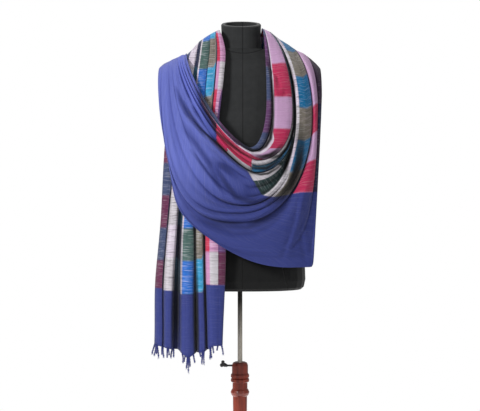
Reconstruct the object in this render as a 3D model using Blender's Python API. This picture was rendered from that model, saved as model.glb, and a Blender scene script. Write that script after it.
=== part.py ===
"""A fringed pashmina shawl worn on a limbless dress form, with the form's turned stand.

Metres, +Z up, the form's chest facing -Y. The shawl is one cloth, about one metre by two. Its fringed end
hangs in pleats down the chest, the cloth then crosses the shoulder, the upper back and the other shoulder,
falls as a wide cowl over the chest and ends over the first shoulder.
"""
import math

import bpy
from mathutils import Matrix, Vector

CLOTH_WALL = 0.002
SEAM_GAP = 0.0003
HALF_SEAM = SEAM_GAP / 2
CONTACT_GAP = 0.0004
SHOULDER_ROUND = 0.060
SHOULDER_POWER = 2.2
ENVELOPE_POWER = 2.6

FORM_SIDES = 32
FORM_POWER = 2.4
NECK_CENTRE_X = 0.003
NECK_FLOOR_Z = 1.478
NECK_RIM = 0.009
NECK_SLANT = 0.34

ROD_RADIUS = 0.0065
ROD_TOP_Z = 0.7717
ROD_FOOT_Z = 0.490
BORE_RADIUS = 0.0073
BORE_FOOT_Z = 0.312
POST_SIDES = 28
BASE_SIDES = 40
SCREW_Z = 0.560
SCREW_HOLE_RADIUS = 0.0034

FRINGE_STEPS = 104
FRINGE_STRIP = 0.005
FRINGE_WALL = 0.0022

# name, z, half width, front, back
FORM_SECTIONS = [
    ("underside", 0.7720, 0.168, 0.106, 0.114),
    ("rim", 0.7790, 0.176, 0.113, 0.122),
    ("seat", 0.7980, 0.180, 0.117, 0.128),
    ("hip", 0.8500, 0.178, 0.113, 0.128),
    ("high_hip", 0.9200, 0.157, 0.102, 0.110),
    ("waist", 0.9850, 0.128, 0.090, 0.090),
    ("under_bust", 1.0700, 0.139, 0.104, 0.092),
    ("bust_low", 1.1250, 0.152, 0.121, 0.098),
    ("bust", 1.1650, 0.158, 0.126, 0.103),
    ("bust_high", 1.2100, 0.163, 0.116, 0.107),
    ("armhole", 1.2600, 0.174, 0.098, 0.109),
    ("chest", 1.3100, 0.184, 0.083, 0.106),
    ("shoulder_low", 1.3480, 0.191, 0.070, 0.090),
    ("shoulder_tip", 1.3770, 0.187, 0.058, 0.072),
    ("shoulder", 1.3940, 0.171, 0.050, 0.060),
    ("shoulder_high", 1.4130, 0.135, 0.047, 0.054),
    ("neck_seam", 1.4250, 0.098, 0.049, 0.052),
]

# name, z, half width, half depth
NECK_SECTIONS = [
    ("seam", 1.4253, 0.0575, 0.050),
    ("root", 1.4380, 0.0560, 0.048),
    ("middle", 1.4600, 0.0535, 0.046),
    ("top", 1.4965, 0.0550, 0.046),
    ("lip", 1.4990, 0.0530, 0.044),
]

# name, z, radius of the turned stand from its foot up
BASE_PROFILE = [
    ("foot", 0.0000, 0.172),
    ("edge", 0.0040, 0.176),
    ("side", 0.0160, 0.176),
    ("bead", 0.0200, 0.168),
    ("ogee_low", 0.0240, 0.150),
    ("ogee", 0.0300, 0.095),
    ("ogee_high", 0.0380, 0.060),
    ("collar", 0.0480, 0.046),
]
POST_PROFILE = [
    ("foot", 0.0483, 0.034),
    ("foot_ring", 0.0600, 0.038),
    ("ankle", 0.0750, 0.027),
    ("swell", 0.2000, 0.0240),
    ("long_shaft", 0.4300, 0.0190),
    ("shaft", 0.4760, 0.0195),
    ("low_ring_a", 0.4800, 0.0235),
    ("low_ring_b", 0.4870, 0.0258),
    ("low_ring_c", 0.4930, 0.0235),
    ("waist_a", 0.4970, 0.0205),
    ("waist_b", 0.5140, 0.0205),
    ("ring_b_low", 0.5170, 0.0252),
    ("ring_b_high", 0.5235, 0.0252),
    ("groove", 0.5260, 0.0222),
    ("ring_a_low", 0.5290, 0.0252),
    ("ring_a_high", 0.5350, 0.0252),
    ("head_low", 0.5400, 0.0220),
    ("head", 0.5610, 0.0220),
    ("head_round", 0.5675, 0.0195),
    ("head_top", 0.5700, 0.0150),
]
# x outwards from the rod along the thumbscrew, radius
SCREW_PROFILE = [
    ("tip", -0.0068, 0.0022),
    ("thread", -0.0085, 0.0030),
    ("thread_end", -0.0290, 0.0030),
    ("neck_in", -0.0305, 0.0022),
    ("neck_out", -0.0340, 0.0022),
    ("knob_in", -0.0350, 0.0062),
    ("knob_low", -0.0375, 0.0080),
    ("knob", -0.0445, 0.0092),
    ("knob_high", -0.0505, 0.0078),
    ("knob_out", -0.0530, 0.0050),
]

# The line that cloth takes over the shoulders and against the neck: x, height. It is bulkier on the right,
# where the whole width of the cloth is gathered beside the neck.
SHOULDER_LINE = [
    (-0.235, 1.3440),
    (-0.225, 1.3560),
    (-0.220, 1.3680),
    (-0.209, 1.3775),
    (-0.190, 1.3865),
    (-0.169, 1.3952),
    (-0.150, 1.4055),
    (-0.133, 1.4225),
    (-0.109, 1.4490),
    (-0.095, 1.4580),
    (-0.079, 1.4685),
    (-0.058, 1.4790),
    (0.000, 1.4850),
    (0.050, 1.4870),
    (0.061, 1.4830),
    (0.083, 1.4730),
    (0.107, 1.4535),
    (0.129, 1.4405),
    (0.154, 1.4230),
    (0.173, 1.4150),
    (0.193, 1.4000),
    (0.209, 1.3860),
    (0.223, 1.3695),
    (0.235, 1.3575),
]
# height, half width of the hanging cloth, its depth in front, its depth behind
HANG = [
    (0.540, 0.262, 0.146, 0.135),
    (0.800, 0.256, 0.152, 0.140),
    (0.950, 0.252, 0.152, 0.134),
    (1.080, 0.248, 0.154, 0.128),
    (1.170, 0.246, 0.156, 0.127),
    (1.250, 0.244, 0.142, 0.129),
    (1.310, 0.242, 0.124, 0.126),
    (1.360, 0.240, 0.104, 0.115),
    (1.400, 0.238, 0.084, 0.100),
    (1.440, 0.236, 0.074, 0.092),
    (1.470, 0.234, 0.070, 0.090),
]

# The cowl's folds from its inner lip to its hem. u is the share of the cloth's width. Each fold leaves the
# right shoulder at shoulder_x, passes side, turns at low and ends on the left shoulder at left_x. The powers
# say how square its two turns are. Proud says how far it stands out, low under the chest and up the side.
FRONT_FOLDS = [
    # name, u, shoulder_x, side_x, side_z, low_x, low_z, left_x, power_right, power_left, proud, proud_side
    ("lip", 0.000, 0.0605, 0.0700, 1.290, 0.026, 1.151, -0.146, 2.2, 1.38, 0.002, 0.002),
    ("lip_valley", 0.035, 0.0610, 0.0800, 1.280, 0.030, 1.144, -0.149, 2.2, 1.40, -0.004, -0.004),
    ("first_ridge", 0.085, 0.0615, 0.0905, 1.249, 0.036, 1.135, -0.153, 2.4, 1.42, 0.009, 0.004),
    ("first_body", 0.125, 0.0625, 0.1130, 1.252, 0.039, 1.128, -0.155, 2.3, 1.42, 0.010, 0.008),
    ("first_edge", 0.170, 0.0640, 0.1360, 1.249, 0.044, 1.121, -0.158, 2.2, 1.42, 0.006, 0.004),
    ("grey_ridge", 0.205, 0.0650, 0.1400, 1.242, 0.045, 1.113, -0.161, 2.1, 1.42, 0.003, -0.006),
    ("grey_valley", 0.240, 0.0655, 0.1412, 1.238, 0.045, 1.104, -0.164, 2.1, 1.42, -0.006, -0.006),
    ("blue_ridge", 0.300, 0.0660, 0.1425, 1.236, 0.046, 1.094, -0.166, 2.1, 1.42, 0.005, -0.006),
    ("bold_valley", 0.330, 0.0665, 0.1440, 1.234, 0.041, 1.086, -0.169, 2.1, 1.45, -0.008, -0.006),
    ("panel_top", 0.360, 0.0670, 0.1447, 1.233, 0.039, 1.076, -0.172, 2.1, 1.50, 0.006, -0.006),
    ("green_hollow", 0.450, 0.0680, 0.1460, 1.236, 0.033, 1.048, -0.177, 2.1, 1.58, -0.007, -0.006),
    ("second_ridge", 0.530, 0.0720, 0.1490, 1.241, 0.018, 1.012, -0.184, 2.1, 1.80, 0.011, 0.004),
    ("sharp_valley", 0.600, 0.0880, 0.1620, 1.243, 0.010, 1.000, -0.190, 2.1, 2.15, -0.008, 0.009),
    ("second_edge", 0.670, 0.1050, 0.1760, 1.246, 0.002, 0.988, -0.197, 2.1, 2.70, 0.012, 0.009),
    ("roll_crease", 0.700, 0.1140, 0.1830, 1.246, -0.002, 0.980, -0.203, 2.1, 2.85, 0.002, 0.006),
    ("roll_ridge", 0.735, 0.1240, 0.1890, 1.246, -0.004, 0.971, -0.208, 2.1, 2.95, 0.009, 0.001),
    ("under_roll", 0.770, 0.1340, 0.1925, 1.246, 0.002, 0.952, -0.212, 2.1, 2.75, -0.008, -0.005),
    ("third_ridge", 0.830, 0.1500, 0.1990, 1.249, 0.023, 0.909, -0.215, 2.3, 2.40, 0.010, 0.006),
    ("lower_panel", 0.920, 0.1820, 0.2090, 1.268, 0.072, 0.873, -0.218, 3.6, 2.25, -0.003, 0.000),
    ("hem", 1.000, 0.2190, 0.2190, 1.294, 0.135, 0.838, -0.221, 36.0, 2.15, 0.003, 0.002),
]
SIDE_SHARE = 0.20
LOW_SHARE = 0.56
FRONT_STEPS = 38

# The pleats of the hanging fringed end, from its inner edge to its outer one: u, x on the shoulder, x at
# four heights, x and z at the hem, and how proud each is.
TAIL_HEIGHTS = (1.420, 1.350, 1.172, 0.936)
TAIL_PLEATS = [
    # name, u, shoulder_x, root_x, high_x, chest_x, low_x, hem_x, hem_z, proud
    ("edge_in", 0.00, -0.0560, -0.0400, -0.043, -0.057, -0.037, -0.046, 0.633, -0.3),
    ("pink_ridge", 0.12, -0.0600, -0.0500, -0.051, -0.068, -0.072, -0.067, 0.633, 0.8),
    ("pink_valley", 0.20, -0.0650, -0.0610, -0.064, -0.079, -0.092, -0.086, 0.622, -0.9),
    ("cyan_ridge", 0.30, -0.0730, -0.0720, -0.077, -0.090, -0.105, -0.099, 0.615, 0.7),
    ("cyan_valley", 0.37, -0.0800, -0.0810, -0.088, -0.101, -0.117, -0.114, 0.615, -0.8),
    ("green_ridge", 0.45, -0.0890, -0.0920, -0.099, -0.112, -0.133, -0.136, 0.599, 1.0),
    ("teal_valley", 0.60, -0.1050, -0.1100, -0.118, -0.134, -0.158, -0.164, 0.620, -1.0),
    ("white_ridge", 0.73, -0.1190, -0.1220, -0.134, -0.150, -0.176, -0.189, 0.622, 0.9),
    ("white_valley", 0.83, -0.1310, -0.1340, -0.149, -0.168, -0.192, -0.204, 0.625, -0.6),
    ("plum_ridge", 0.93, -0.1460, -0.1490, -0.164, -0.185, -0.203, -0.217, 0.628, 0.6),
    ("edge_out", 1.00, -0.1580, -0.1640, -0.178, -0.199, -0.212, -0.228, 0.630, -0.2),
]
TAIL_STEPS = 26

# The folds that cross the upper back, from the neck to the lower edge: the lowest point of each.
BACK_FOLDS = [
    # name, u, low_x, low_z, power_left, power_right, proud
    ("nape", 0.00, 0.004, 1.462, 2.0, 2.0, 0.000),
    ("nape_valley", 0.10, 0.004, 1.441, 2.0, 2.0, -0.003),
    ("yoke_ridge", 0.22, 0.008, 1.402, 1.9, 1.9, 0.006),
    ("yoke_valley", 0.32, 0.010, 1.362, 1.8, 1.9, -0.004),
    ("blade_ridge", 0.45, 0.006, 1.312, 1.8, 1.8, 0.008),
    ("blade_valley", 0.57, -0.002, 1.262, 1.7, 1.8, -0.005),
    ("middle_ridge", 0.70, -0.012, 1.214, 1.7, 1.8, 0.009),
    ("middle_valley", 0.83, -0.022, 1.158, 1.7, 1.9, -0.004),
    ("lower_edge", 1.00, -0.034, 1.092, 1.7, 2.0, 0.003),
]
BACK_STEPS = 26
TURN_STEPS = 48

# The plain end thrown over the left shoulder: how far it hangs behind, how far outwards, how proud
END_FOLDS = [
    # name, u, hem_x, hem_z, proud
    ("inner", 0.00, -0.074, 1.150, 0.000),
    ("inner_ridge", 0.18, -0.094, 1.158, 0.007),
    ("valley", 0.36, -0.117, 1.184, -0.004),
    ("middle_ridge", 0.55, -0.141, 1.226, 0.007),
    ("outer_valley", 0.74, -0.165, 1.274, -0.003),
    ("outer_ridge", 0.88, -0.189, 1.312, 0.005),
    ("corner", 1.00, -0.213, 1.336, 0.000),
]
END_STEPS = 11

HEM_LEAN = 0.026
LEFT_LIFT = 0.0085
UNDER_LAYER = 0.021
UNDER_LAYER_LOW = 0.012
END_OVER_BACK = 0.020


def material(name, color, roughness, metallic=0.0):
    made = bpy.data.materials.new(name)
    made.use_nodes = True
    shader = made.node_tree.nodes["Principled BSDF"]
    shader.inputs["Base Color"].default_value = (*color, 1.0)
    shader.inputs["Roughness"].default_value = roughness
    shader.inputs["Metallic"].default_value = metallic
    made.diffuse_color = (*color, 1.0)
    return made


def at(rows, key, first=0):
    """The row's later columns at this key, straight between the two nearest rows."""
    low = high = rows[0]
    for row in rows:
        high = row
        if row[first] >= key:
            break
        low = row
    span = high[first] - low[first]
    share = 0.0 if span == 0 else min(max((key - low[first]) / span, 0.0), 1.0)
    return [a + (b - a) * share for a, b in zip(low[first + 1:], high[first + 1:])]


def fold_at(rows, u, swinging=1):
    """As at(), but the last columns, how proud it is, swing evenly between a ridge and a valley."""
    values = at([row[1:] for row in rows], u)
    for low, high in zip(rows, rows[1:]):
        if low[1] <= u <= high[1]:
            share = (u - low[1]) / (high[1] - low[1])
            swing = 0.5 - 0.5 * math.cos(math.pi * share)
            for last in range(-swinging, 0):
                values[last] = low[last] + (high[last] - low[last]) * swing
            break
    return values


def smooth(value):
    value = min(max(value, 0.0), 1.0)
    return value * value * (3 - 2 * value)


def shoulder_z(x):
    return at(SHOULDER_LINE, x)[0]


def over_shoulder(drop):
    """How much of the full depth the cloth has reached at this drop below the shoulder line."""
    left = 1 - min(max(drop / SHOULDER_ROUND, 0.0), 1.0)
    return (1 - left ** SHOULDER_POWER) ** (1 / SHOULDER_POWER)


def hang_depth(x, z, behind=False):
    half_width, front, back = at(HANG, z)
    across = min(abs(x) / half_width, 0.995)
    return (back if behind else front) * (1 - across ** ENVELOPE_POWER) ** (1 / ENVELOPE_POWER)


def dense_ends(steps, start, end):
    """Shares of a fold's run from 0 to 1, closer together near an end that crosses a shoulder."""
    shares = []
    for k in range(steps + 1):
        share = k / steps
        share += start * (share ** 2 - share) * (1 - share) - end * (share ** 2 - share) * share
        shares.append(share)
    return shares


def spread(rows, finest):
    """Shares of the width: every fold, with even steps between those that lie far apart."""
    shares = []
    for low, high in zip(rows, rows[1:]):
        count = max(1, round((high[1] - low[1]) / finest))
        shares += [low[1] + (high[1] - low[1]) * i / count for i in range(count)]
    return shares + [rows[-1][1]]


def turn(start, corner, power, share):
    """A point on a rounded turn in x and z, level at corner and upright at start."""
    angle = share * math.pi / 2
    x = corner[0] + (start[0] - corner[0]) * math.sin(angle) ** (2 / power)
    z = corner[1] + (start[1] - corner[1]) * (1 - math.cos(angle) ** (2 / power))
    return x, z


def even_turn(start, corner, power, share):
    """As turn(), but the share is of the turn's length, for turns that are nearly square."""
    path = []
    length = 0.0
    for k in range(TURN_STEPS + 1):
        x, z = turn(start, corner, power, k / TURN_STEPS)
        if path:
            length += math.hypot(x - path[-1][1], z - path[-1][2])
        path.append((length, x, z))
    return at(path, share * length)


def corner_share():
    """The share of the hem's run at its corner."""
    def miss(t):
        point = front_point(1.0, t)
        return -(point.x - point.z)
    return min((SIDE_SHARE + (LOW_SHARE - SIDE_SHARE) * k / 400 for k in range(401)), key=miss)


def nearest_step(steps):
    corner = corner_share()
    return min(range(len(steps)), key=lambda k: abs(steps[k] - corner))


def front_rise(u, right):
    """How far the front's folds stand up where they cross a shoulder. They are pressed flat beside the neck."""
    if right:
        return 0.0008
    return (fold_at(FRONT_FOLDS, u, 2)[-2] + 0.008) * 0.12


def front_point(u, t):
    fold = fold_at(FRONT_FOLDS, u, 2)
    shoulder_x, side_x, side_z, low_x, low_z, left_x, power_right, power_left, proud, proud_side = fold
    lift = CLOTH_WALL / 2 + CONTACT_GAP + (LEFT_LIFT if t > LOW_SHARE else 0.0)
    top_z = shoulder_z(shoulder_x) + lift
    if t < SIDE_SHARE:
        share = t / SIDE_SHARE
        x = shoulder_x + (side_x - shoulder_x) * math.sin(share * math.pi / 2)
        z = top_z + (side_z - top_z) * (share ** 1.5)
    elif t < LOW_SHARE:
        share = (LOW_SHARE - t) / (LOW_SHARE - SIDE_SHARE)
        lean = HEM_LEAN * smooth((u - 0.80) / 0.20)
        x, z = even_turn((side_x, side_z), (low_x + lean, low_z), power_right, share)
        x -= lean * (side_z - z) / (side_z - low_z)
    else:
        share = (t - LOW_SHARE) / (1 - LOW_SHARE)
        x, z = turn((left_x, shoulder_z(left_x) + lift), (low_x, low_z), power_left, share)
    reach = over_shoulder(shoulder_z(x) + lift - z)
    proud = proud_side + (proud - proud_side) * smooth((t - 0.32) / 0.20)
    height = smooth(t / 0.17) * (1 - 0.75 * smooth((t - 0.62) / 0.36))
    depth = (hang_depth(x, z) + proud * height) * reach
    rise = front_rise(u, t < LOW_SHARE) * (1 - reach)
    return Vector((x, -HALF_SEAM - depth, z + rise))


def tail_x(stations, z):
    """A smooth line through the stations, which run down from the shoulder."""
    for i, (high, low) in enumerate(zip(stations, stations[1:])):
        if z >= low[0] or low is stations[-1]:
            before = stations[max(i - 1, 0)]
            after = stations[min(i + 2, len(stations) - 1)]
            span = low[0] - high[0]
            share = min(max((z - high[0]) / span, 0.0), 1.0)
            slope_in = (low[1] - before[1]) / (low[0] - before[0]) * span
            slope_out = (after[1] - high[1]) / (after[0] - high[0]) * span
            a, b = share ** 2, share ** 3
            return (
                (2 * b - 3 * a + 1) * high[1] + (b - 2 * a + share) * slope_in
                + (3 * a - 2 * b) * low[1] + (b - a) * slope_out
            )


def tail_point(u, t):
    shoulder_x, root_x, high_x, chest_x, low_x, hem_x, hem_z, proud = fold_at(TAIL_PLEATS, u)
    lift = CLOTH_WALL / 2 + CONTACT_GAP
    top_z = shoulder_z(shoulder_x) + lift
    z = top_z + (hem_z - top_z) * t ** 1.12
    root_z = min(TAIL_HEIGHTS[0], top_z - 0.012)
    heights = (top_z, root_z) + TAIL_HEIGHTS[1:] + (hem_z,)
    stations = list(zip(heights, (shoulder_x, root_x, high_x, chest_x, low_x, hem_x)))
    x = tail_x(stations, z)
    reach = over_shoulder(shoulder_z(x) + lift - z)
    if t == 0:
        reach = 0.0
    under = UNDER_LAYER * smooth((top_z - z) / 0.06)
    under += (UNDER_LAYER_LOW - UNDER_LAYER) * smooth((0.99 - z) / 0.10)
    pleat = 0.0020 + 0.0030 * smooth((top_z - z) / 0.15) + 0.0060 * smooth((1.00 - z) / 0.22)
    depth = (hang_depth(x, z) - under + proud * pleat) * reach
    rise = (proud + 1) * 0.0008 * (1 - reach)
    return Vector((x, -HALF_SEAM - depth, z + rise))


def back_point(u, t):
    low_x, low_z, power_left, power_right, proud = fold_at(BACK_FOLDS, u)
    start_x = fold_at(TAIL_PLEATS, u)[0]
    end_x = fold_at(FRONT_FOLDS, u)[0]
    lift = CLOTH_WALL / 2 + CONTACT_GAP
    if t < 0.5:
        x, z = turn((start_x, shoulder_z(start_x) + lift), (low_x, low_z), power_left, 1 - t / 0.5)
    else:
        x, z = turn((end_x, shoulder_z(end_x) + lift), (low_x, low_z), power_right, t / 0.5 - 1)
    reach = over_shoulder(shoulder_z(x) + lift - z)
    if t in (0, 1):
        reach = 0.0
    height = math.sin(math.pi * t) ** 0.7
    depth = (hang_depth(x, z, behind=True) + proud * height) * reach
    near_left = (fold_at(TAIL_PLEATS, u)[-1] + 1) * 0.0008
    near_right = front_rise(u, True)
    rise = (near_left + (near_right - near_left) * t) * (1 - reach)
    return Vector((x, HALF_SEAM + depth, z + rise))


def end_point(u, t):
    hem_x, hem_z, proud = fold_at(END_FOLDS, u)
    start_x = fold_at(FRONT_FOLDS, u)[5]
    lift = CLOTH_WALL / 2 + CONTACT_GAP + LEFT_LIFT
    top_z = shoulder_z(start_x) + lift
    x = start_x + (hem_x - start_x) * t
    z = top_z + (hem_z - top_z) * t ** 1.4
    reach = over_shoulder(shoulder_z(x) + lift - z)
    if t == 0:
        reach = 0.0
    over = END_OVER_BACK * smooth((top_z - z) / 0.05)
    depth = (hang_depth(x, z, behind=True) + over + proud * smooth(t * 2)) * reach
    rise = front_rise(u, False) * (1 - reach)
    return Vector((x, HALF_SEAM + depth, z + rise))


def mesh_object(name, points, faces, shade, look):
    mesh = bpy.data.meshes.new(name)
    mesh.from_pydata([tuple(p) for p in points], [], faces)
    mesh.materials.append(look)
    for polygon in mesh.polygons:
        polygon.use_smooth = shade
    made = bpy.data.objects.new(name, mesh)
    bpy.context.scene.collection.objects.link(made)
    return made


def face_out(made):
    """Turns the faces round if the closed mesh is inside out."""
    mesh = made.data
    mesh.calc_loop_triangles()
    volume = 0.0
    for triangle in mesh.loop_triangles:
        a, b, c = (mesh.vertices[i].co for i in triangle.vertices)
        volume += a.dot(b.cross(c))
    if volume < 0:
        mesh.flip_normals()


def cloth(name, grid, look):
    """A closed wall around a grid of middle points. It stays on its own side of the seams over the shoulders."""
    rows, columns = len(grid), len(grid[0])
    sides = ([], [])
    for i in range(rows):
        for j in range(columns):
            across = grid[min(i + 1, rows - 1)][j] - grid[max(i - 1, 0)][j]
            along = grid[i][min(j + 1, columns - 1)] - grid[i][max(j - 1, 0)]
            normal = across.cross(along)
            normal.normalize()
            room = max(abs(grid[i][j].y) - HALF_SEAM, 0.0) / CLOTH_WALL
            if abs(normal.y) > room:
                normal.y = math.copysign(room, normal.y)
            sides[0].append(grid[i][j] + normal * CLOTH_WALL / 2)
            sides[1].append(grid[i][j] - normal * CLOTH_WALL / 2)
    total = rows * columns
    faces = []
    for i in range(rows - 1):
        for j in range(columns - 1):
            a = i * columns + j
            quad = (a, a + columns, a + columns + 1, a + 1)
            faces.append(quad)
            faces.append(tuple(total + k for k in reversed(quad)))
    border = [(i, 0) for i in range(rows)] + [(rows - 1, j) for j in range(1, columns)]
    border += [(i, columns - 1) for i in range(rows - 2, -1, -1)] + [(0, j) for j in range(columns - 2, 0, -1)]
    ring = [i * columns + j for i, j in border]
    for k, a in enumerate(ring):
        b = ring[(k + 1) % len(ring)]
        faces.append((a, a + total, b + total, b))
    made = mesh_object(name, sides[0] + sides[1], faces, True, look)
    face_out(made)
    return made


def stacked(name, rings, look, shade=True):
    """A closed body through rings of points, with a flat cap at each end."""
    count = len(rings[0])
    points = [p for ring in rings for p in ring]
    faces = [tuple(reversed(range(count)))]
    for i in range(len(rings) - 1):
        for j in range(count):
            a, b = i * count + j, i * count + (j + 1) % count
            faces.append((a, b, b + count, a + count))
    last = (len(rings) - 1) * count
    faces.append(tuple(last + j for j in range(count)))
    made = mesh_object(name, points, faces, shade, look)
    face_out(made)
    return made


def oval(half_width, front, back, z, sides, power, centre_x=0.0):
    ring = []
    for k in range(sides):
        angle = 2 * math.pi * k / sides
        c, s = math.cos(angle), math.sin(angle)
        x = half_width * math.copysign(abs(c) ** (2 / power), c)
        depth = back if s > 0 else front
        ring.append(Vector((centre_x + x, depth * math.copysign(abs(s) ** (2 / power), s), z)))
    return ring


def turned(name, profile, sides, look, bore=None):
    """A lathed body from (name, z, radius) rows. A bore is (radius, foot z), open at the top."""
    rings = [oval(r, r, r, z, sides, 2.0) for _, z, r in profile]
    if bore:
        radius, foot = bore
        top = profile[-1][1]
        rings += [oval(radius, radius, radius, z, sides, 2.0) for z in (top, foot)]
    return stacked(name, rings, look)


def make_form(look):
    rings = [oval(w, f, b, z, FORM_SIDES, FORM_POWER) for _, z, w, f, b in FORM_SECTIONS]
    return stacked("torso", rings, look)


def make_neck(look):
    rings = [oval(w, d, d, z, FORM_SIDES, 2.1, NECK_CENTRE_X) for _, z, w, d in NECK_SECTIONS]
    _, top_z, width, depth = NECK_SECTIONS[-1]
    inner = (width - NECK_RIM, depth - NECK_RIM)
    for z in (top_z, NECK_FLOOR_Z):
        rings.append(oval(inner[0], inner[1], inner[1], z, FORM_SIDES, 2.1, NECK_CENTRE_X))
    for ring in rings[-4:-1]:
        for point in ring:
            point.z += point.y * NECK_SLANT
    return stacked("neck_block", rings, look)


def make_thumbscrew(look):
    rings = []
    for _, x, radius in SCREW_PROFILE:
        ring = [Vector((x, radius * math.cos(a), SCREW_Z + radius * math.sin(a)))
                for a in (2 * math.pi * k / 16 for k in range(16))]
        rings.append(ring)
    made = stacked("thumbscrew", rings, look)
    made.data.transform(Matrix.Translation((-SCREW_PROFILE[0][1], 0, -SCREW_Z)))
    made.location = (SCREW_PROFILE[0][1], 0, SCREW_Z)
    return made


def drill_screw_hole(post):
    bpy.ops.mesh.primitive_cylinder_add(
        vertices=24, radius=SCREW_HOLE_RADIUS, depth=0.024, location=(-0.0176, 0, SCREW_Z),
        rotation=(0, math.pi / 2, 0),
    )
    cutter = bpy.context.object
    cutter.name = "screw_hole_cutter"
    cutter.hide_render = True
    cutter.display_type = "WIRE"
    cut = post.modifiers.new("screw_hole", "BOOLEAN")
    cut.object = cutter
    cut.operation = "DIFFERENCE"
    cut.solver = "EXACT"


def make_fringe(look):
    """A narrow strip along the tail's hem, with strands drawn down from every second step of it."""
    hem = [tail_point(k / FRINGE_STEPS, 1.0) for k in range(FRINGE_STEPS + 1)]
    levels = []
    for k, point in enumerate(hem):
        along = hem[min(k + 1, FRINGE_STEPS)] - hem[max(k - 1, 0)]
        out = Vector((along.y, -along.x, 0)).normalized() * FRINGE_WALL / 2
        top = point - Vector((0, 0, SEAM_GAP + 0.0006))
        foot = top - Vector((0, 0, FRINGE_STRIP))
        levels.append((top - out, top + out, foot - out, foot + out))
    points = [p for level in levels for p in level]
    faces = [(0, 1, 3, 2), tuple(4 * FRINGE_STEPS + i for i in (0, 2, 3, 1))]
    for k in range(FRINGE_STEPS):
        a, b = 4 * k, 4 * k + 4
        faces += [(a, b, b + 1, a + 1), (a, a + 2, b + 2, b), (a + 1, b + 1, b + 3, a + 3)]
        root = (a + 2, a + 3, b + 3, b + 2)
        if k % 2:
            faces.append(root)
            continue
        tassel = (k // 8) * 8 + 3.5
        pull = (hem[min(int(tassel), FRINGE_STEPS)] - hem[k]) * 0.22
        length = 0.017 + 0.008 * math.sin(1.7 * k) + 0.006 * math.sin(0.41 * k + 1)
        corners = [points[i] for i in root]
        centre = sum(corners, Vector()) / 4
        for share, size in ((0.55, 0.62), (1.0, 0.34)):
            start = len(points)
            shift = Vector((pull.x * share, pull.y * share, -length * share))
            points += [centre + (p - centre) * size + shift for p in corners]
            ring = tuple(range(start, start + 4))
            for i in range(4):
                faces.append((root[i], root[(i + 1) % 4], ring[(i + 1) % 4], ring[i]))
            root = ring
        faces.append(root)
    made = mesh_object("shawl_tail_fringe", points, faces, True, look)
    face_out(made)
    return made


def ride(name, place, children):
    """An empty on a joint's axis, with the pieces that move on it."""
    axis = bpy.data.objects.new(name, None)
    axis.location = place
    bpy.context.scene.collection.objects.link(axis)
    bpy.context.view_layer.update()
    for child in children:
        child.parent = axis
        child.matrix_parent_inverse = axis.matrix_world.inverted()


def build():
    for old in list(bpy.data.objects):
        bpy.data.objects.remove(old, do_unlink=True)
    form_cloth = material("form_cloth", (0.030, 0.031, 0.034), 0.85)
    wood = material("wood", (0.115, 0.028, 0.016), 0.28)
    steel = material("steel", (0.62, 0.62, 0.63), 0.18, 1.0)
    black_metal = material("black_metal", (0.012, 0.012, 0.013), 0.35)
    check = material("shawl_check", (0.30, 0.26, 0.42), 0.75)
    plain = material("shawl_blue", (0.085, 0.105, 0.46), 0.75)
    fringe = material("shawl_fringe", (0.085, 0.105, 0.46), 0.80)

    turned("base", BASE_PROFILE, BASE_SIDES, wood)
    post = turned("post", POST_PROFILE, POST_SIDES, wood, bore=(BORE_RADIUS, BORE_FOOT_Z))
    drill_screw_hole(post)
    screw = make_thumbscrew(black_metal)
    rod_profile = [("foot", ROD_FOOT_Z, ROD_RADIUS), ("top", ROD_TOP_Z, ROD_RADIUS)]
    rod = turned("rod", rod_profile, 24, steel)
    torso = make_form(form_cloth)
    neck = make_neck(form_cloth)

    front_shares = spread(FRONT_FOLDS, 0.030)
    front_steps = dense_ends(FRONT_STEPS, 0.75, 0.75)
    front_steps[nearest_step(front_steps)] = corner_share()
    front_grid = [[front_point(u, t) for t in front_steps] for u in front_shares]
    front = cloth("shawl_front", front_grid, plain)
    tail_shares = spread(TAIL_PLEATS, 0.034)
    tail_grid = [[tail_point(u, t) for t in dense_ends(TAIL_STEPS, 0.80, 0.0)] for u in tail_shares]
    tail = cloth("shawl_tail", tail_grid, check)
    back_shares = spread(BACK_FOLDS, 0.042)
    back_grid = [[back_point(u, t) for t in dense_ends(BACK_STEPS, 0.80, 0.80)] for u in back_shares]
    back = cloth("shawl_back", back_grid, check)
    end_shares = spread(END_FOLDS, 0.060)
    end_grid = [[end_point(u, t) for t in dense_ends(END_STEPS, 0.60, 0.0)] for u in end_shares]
    end = cloth("shawl_end", end_grid, plain)
    strands = make_fringe(fringe)

    ride("height_slide_axis", (0, 0, POST_PROFILE[-1][1]), (rod, torso, neck, front, tail, back, end, strands))
    ride("thumbscrew_axis", (SCREW_PROFILE[0][1], 0, SCREW_Z), (screw,))


build()
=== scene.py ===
import math

import bpy
import numpy as np
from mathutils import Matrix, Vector, noise


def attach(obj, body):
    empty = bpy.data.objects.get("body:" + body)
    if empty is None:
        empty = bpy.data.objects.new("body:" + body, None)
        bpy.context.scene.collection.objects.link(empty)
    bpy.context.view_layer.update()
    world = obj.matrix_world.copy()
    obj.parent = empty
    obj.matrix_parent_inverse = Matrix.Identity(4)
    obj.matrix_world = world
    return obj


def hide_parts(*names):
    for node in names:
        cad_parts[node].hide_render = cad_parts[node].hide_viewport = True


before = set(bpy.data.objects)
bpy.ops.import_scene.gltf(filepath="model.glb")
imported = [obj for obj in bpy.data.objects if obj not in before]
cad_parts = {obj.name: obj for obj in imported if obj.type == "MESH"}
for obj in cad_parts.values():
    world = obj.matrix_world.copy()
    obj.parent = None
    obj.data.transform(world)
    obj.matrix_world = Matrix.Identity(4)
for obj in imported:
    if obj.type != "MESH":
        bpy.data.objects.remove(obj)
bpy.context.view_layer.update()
print("frame loaded:", len(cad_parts), "nodes")


# materials

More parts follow.
